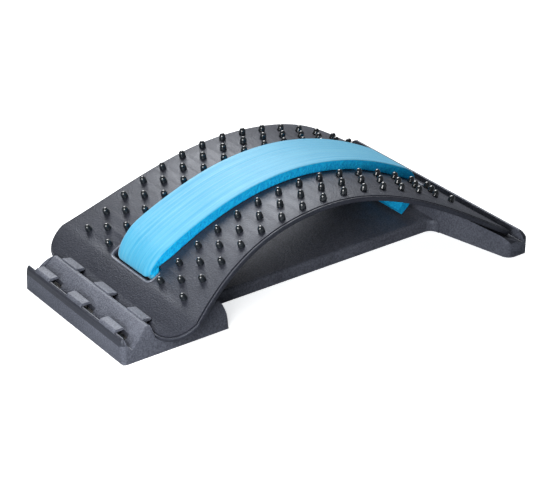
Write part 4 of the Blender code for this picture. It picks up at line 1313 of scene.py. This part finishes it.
def dress_pad():
    rings = []
    place = 0.0
    lines = pad_lines()
    for i, (outer, inner) in enumerate(lines):
        middle = (outer + inner) / 2
        if i > 0:
            place += (middle - (lines[i - 1][0] + lines[i - 1][1]) / 2).length
        squeeze = 0
        for start in SLOT_STARTS:
            slot = on_plane(start + SLOT_LENGTH / 2, 0)
            away = min((middle - slot).length / (1.6 * SLOT_LENGTH), 1)
            squeeze = max(squeeze, PAD_SQUEEZE * (1 - away) ** 1.2)
        rings.append(pad_ring(outer, inner, PAD_WIDTH / 2 - squeeze, place))
    bm = bmesh.new()
    loft(bm, rings)
    bm.verts.index_update()
    count = len(rings[0])
    top_end = len(pad_section()) + PAD_EDGE_STEPS - 1
    top_start = count - PAD_EDGE_STEPS + 1
    for face in bm.faces:
        columns = [v.index % count for v in face.verts]
        on_top = all(c <= top_end or c >= top_start for c in columns) and len(columns) == 4
        face.material_index = 0 if on_top else 1
    pad = add_object("foam_pad_detail", bm, [SKIN_LOOK, CUT_LOOK])
    shade(pad, 60)
    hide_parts("foam_pad")
    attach(pad, LIFTED)


# Floor and light
def pale_floor():
    # White to the eye through its glow, but the glow is left off under the near block, a patch of
    # painted
    #     # shade that the block's windows look down on, and with a softer bounce onto the object's
    #     lower sides
    n = Nodes("floor")
    n.fix(Base_Color=(*FLOOR_COLOUR, 1), Roughness=0.9, Emission_Color=(*FLOOR_GLOW_COLOUR, 1))
    split = n.add("ShaderNodeSeparateXYZ")
    n.join(n.place, split.inputs[0])
    # Painted shade: the glow is switched off inside the near block's footprint
    along = n.calc(split.outputs["X"], -(FRONT_X + REAR_X) / 2)
    along = n.calc(n.calc(along, 0.0, "ABSOLUTE"), (REAR_X - FRONT_X) / 2, "GREATER_THAN")
    across = n.calc(split.outputs["Y"], 0.0, "ABSOLUTE")
    across = n.calc(across, NEAR_BLOCK_WIDTH / 2, "GREATER_THAN")
    outside_painted_shade = n.calc(along, across, "MAXIMUM")
    n.join(n.calc(outside_painted_shade, FLOOR_GLOW, "MULTIPLY"), n.shader.inputs["Emission Strength"])
    bounce = n.add("ShaderNodeBsdfDiffuse")
    bounce.inputs["Color"].default_value = (*FLOOR_BOUNCE, 1)
    seen = n.add("ShaderNodeLightPath").outputs["Is Camera Ray"]
    mix = n.add("ShaderNodeMixShader")
    n.join(seen, mix.inputs[0])
    n.join(bounce.outputs[0], mix.inputs[1])
    n.join(n.shader.outputs[0], mix.inputs[2])
    n.join(mix.outputs[0], n.tree.nodes["Material Output"].inputs["Surface"])
    return n.made


def make_floor():
    bm = bmesh.new()
    bmesh.ops.create_grid(bm, x_segments=1, y_segments=1, size=FLOOR_HALF_SIZE)
    floor = add_object("floor", bm, [pale_floor()])


def soft_light(name, towards, distance, size, power, target):
    # A round area light at a distance from its target, in the direction given
    data = bpy.data.lights.new(name, "AREA")
    data.shape = "DISK"
    data.size = size
    data.energy = power
    light = bpy.data.objects.new(name, data)
    bpy.context.scene.collection.objects.link(light)
    direction = Vector(towards).normalized()
    light.location = Vector(target) + direction * distance
    light.rotation_euler = direction.to_track_quat("Z", "Y").to_euler()


def make_light():
    world = bpy.data.worlds.new("studio")
    bpy.context.scene.world = world
    world.use_nodes = True
    sky = world.node_tree.nodes["Background"]
    sky.inputs["Color"].default_value = (*SKY_COLOUR, 1)
    sky.inputs["Strength"].default_value = SKY_STRENGTH
    for light in LIGHTS:
        soft_light(*light)
    bpy.context.scene.view_settings.view_transform = "Standard"


dress_base()
dress_plate()
dress_slot_lip("near_slot_lip", SLOT_STARTS[0], 1)
dress_slot_lip("far_slot_lip", SLOT_STARTS[1], -1)
dress_points()
dress_pad()
make_floor()
make_light()
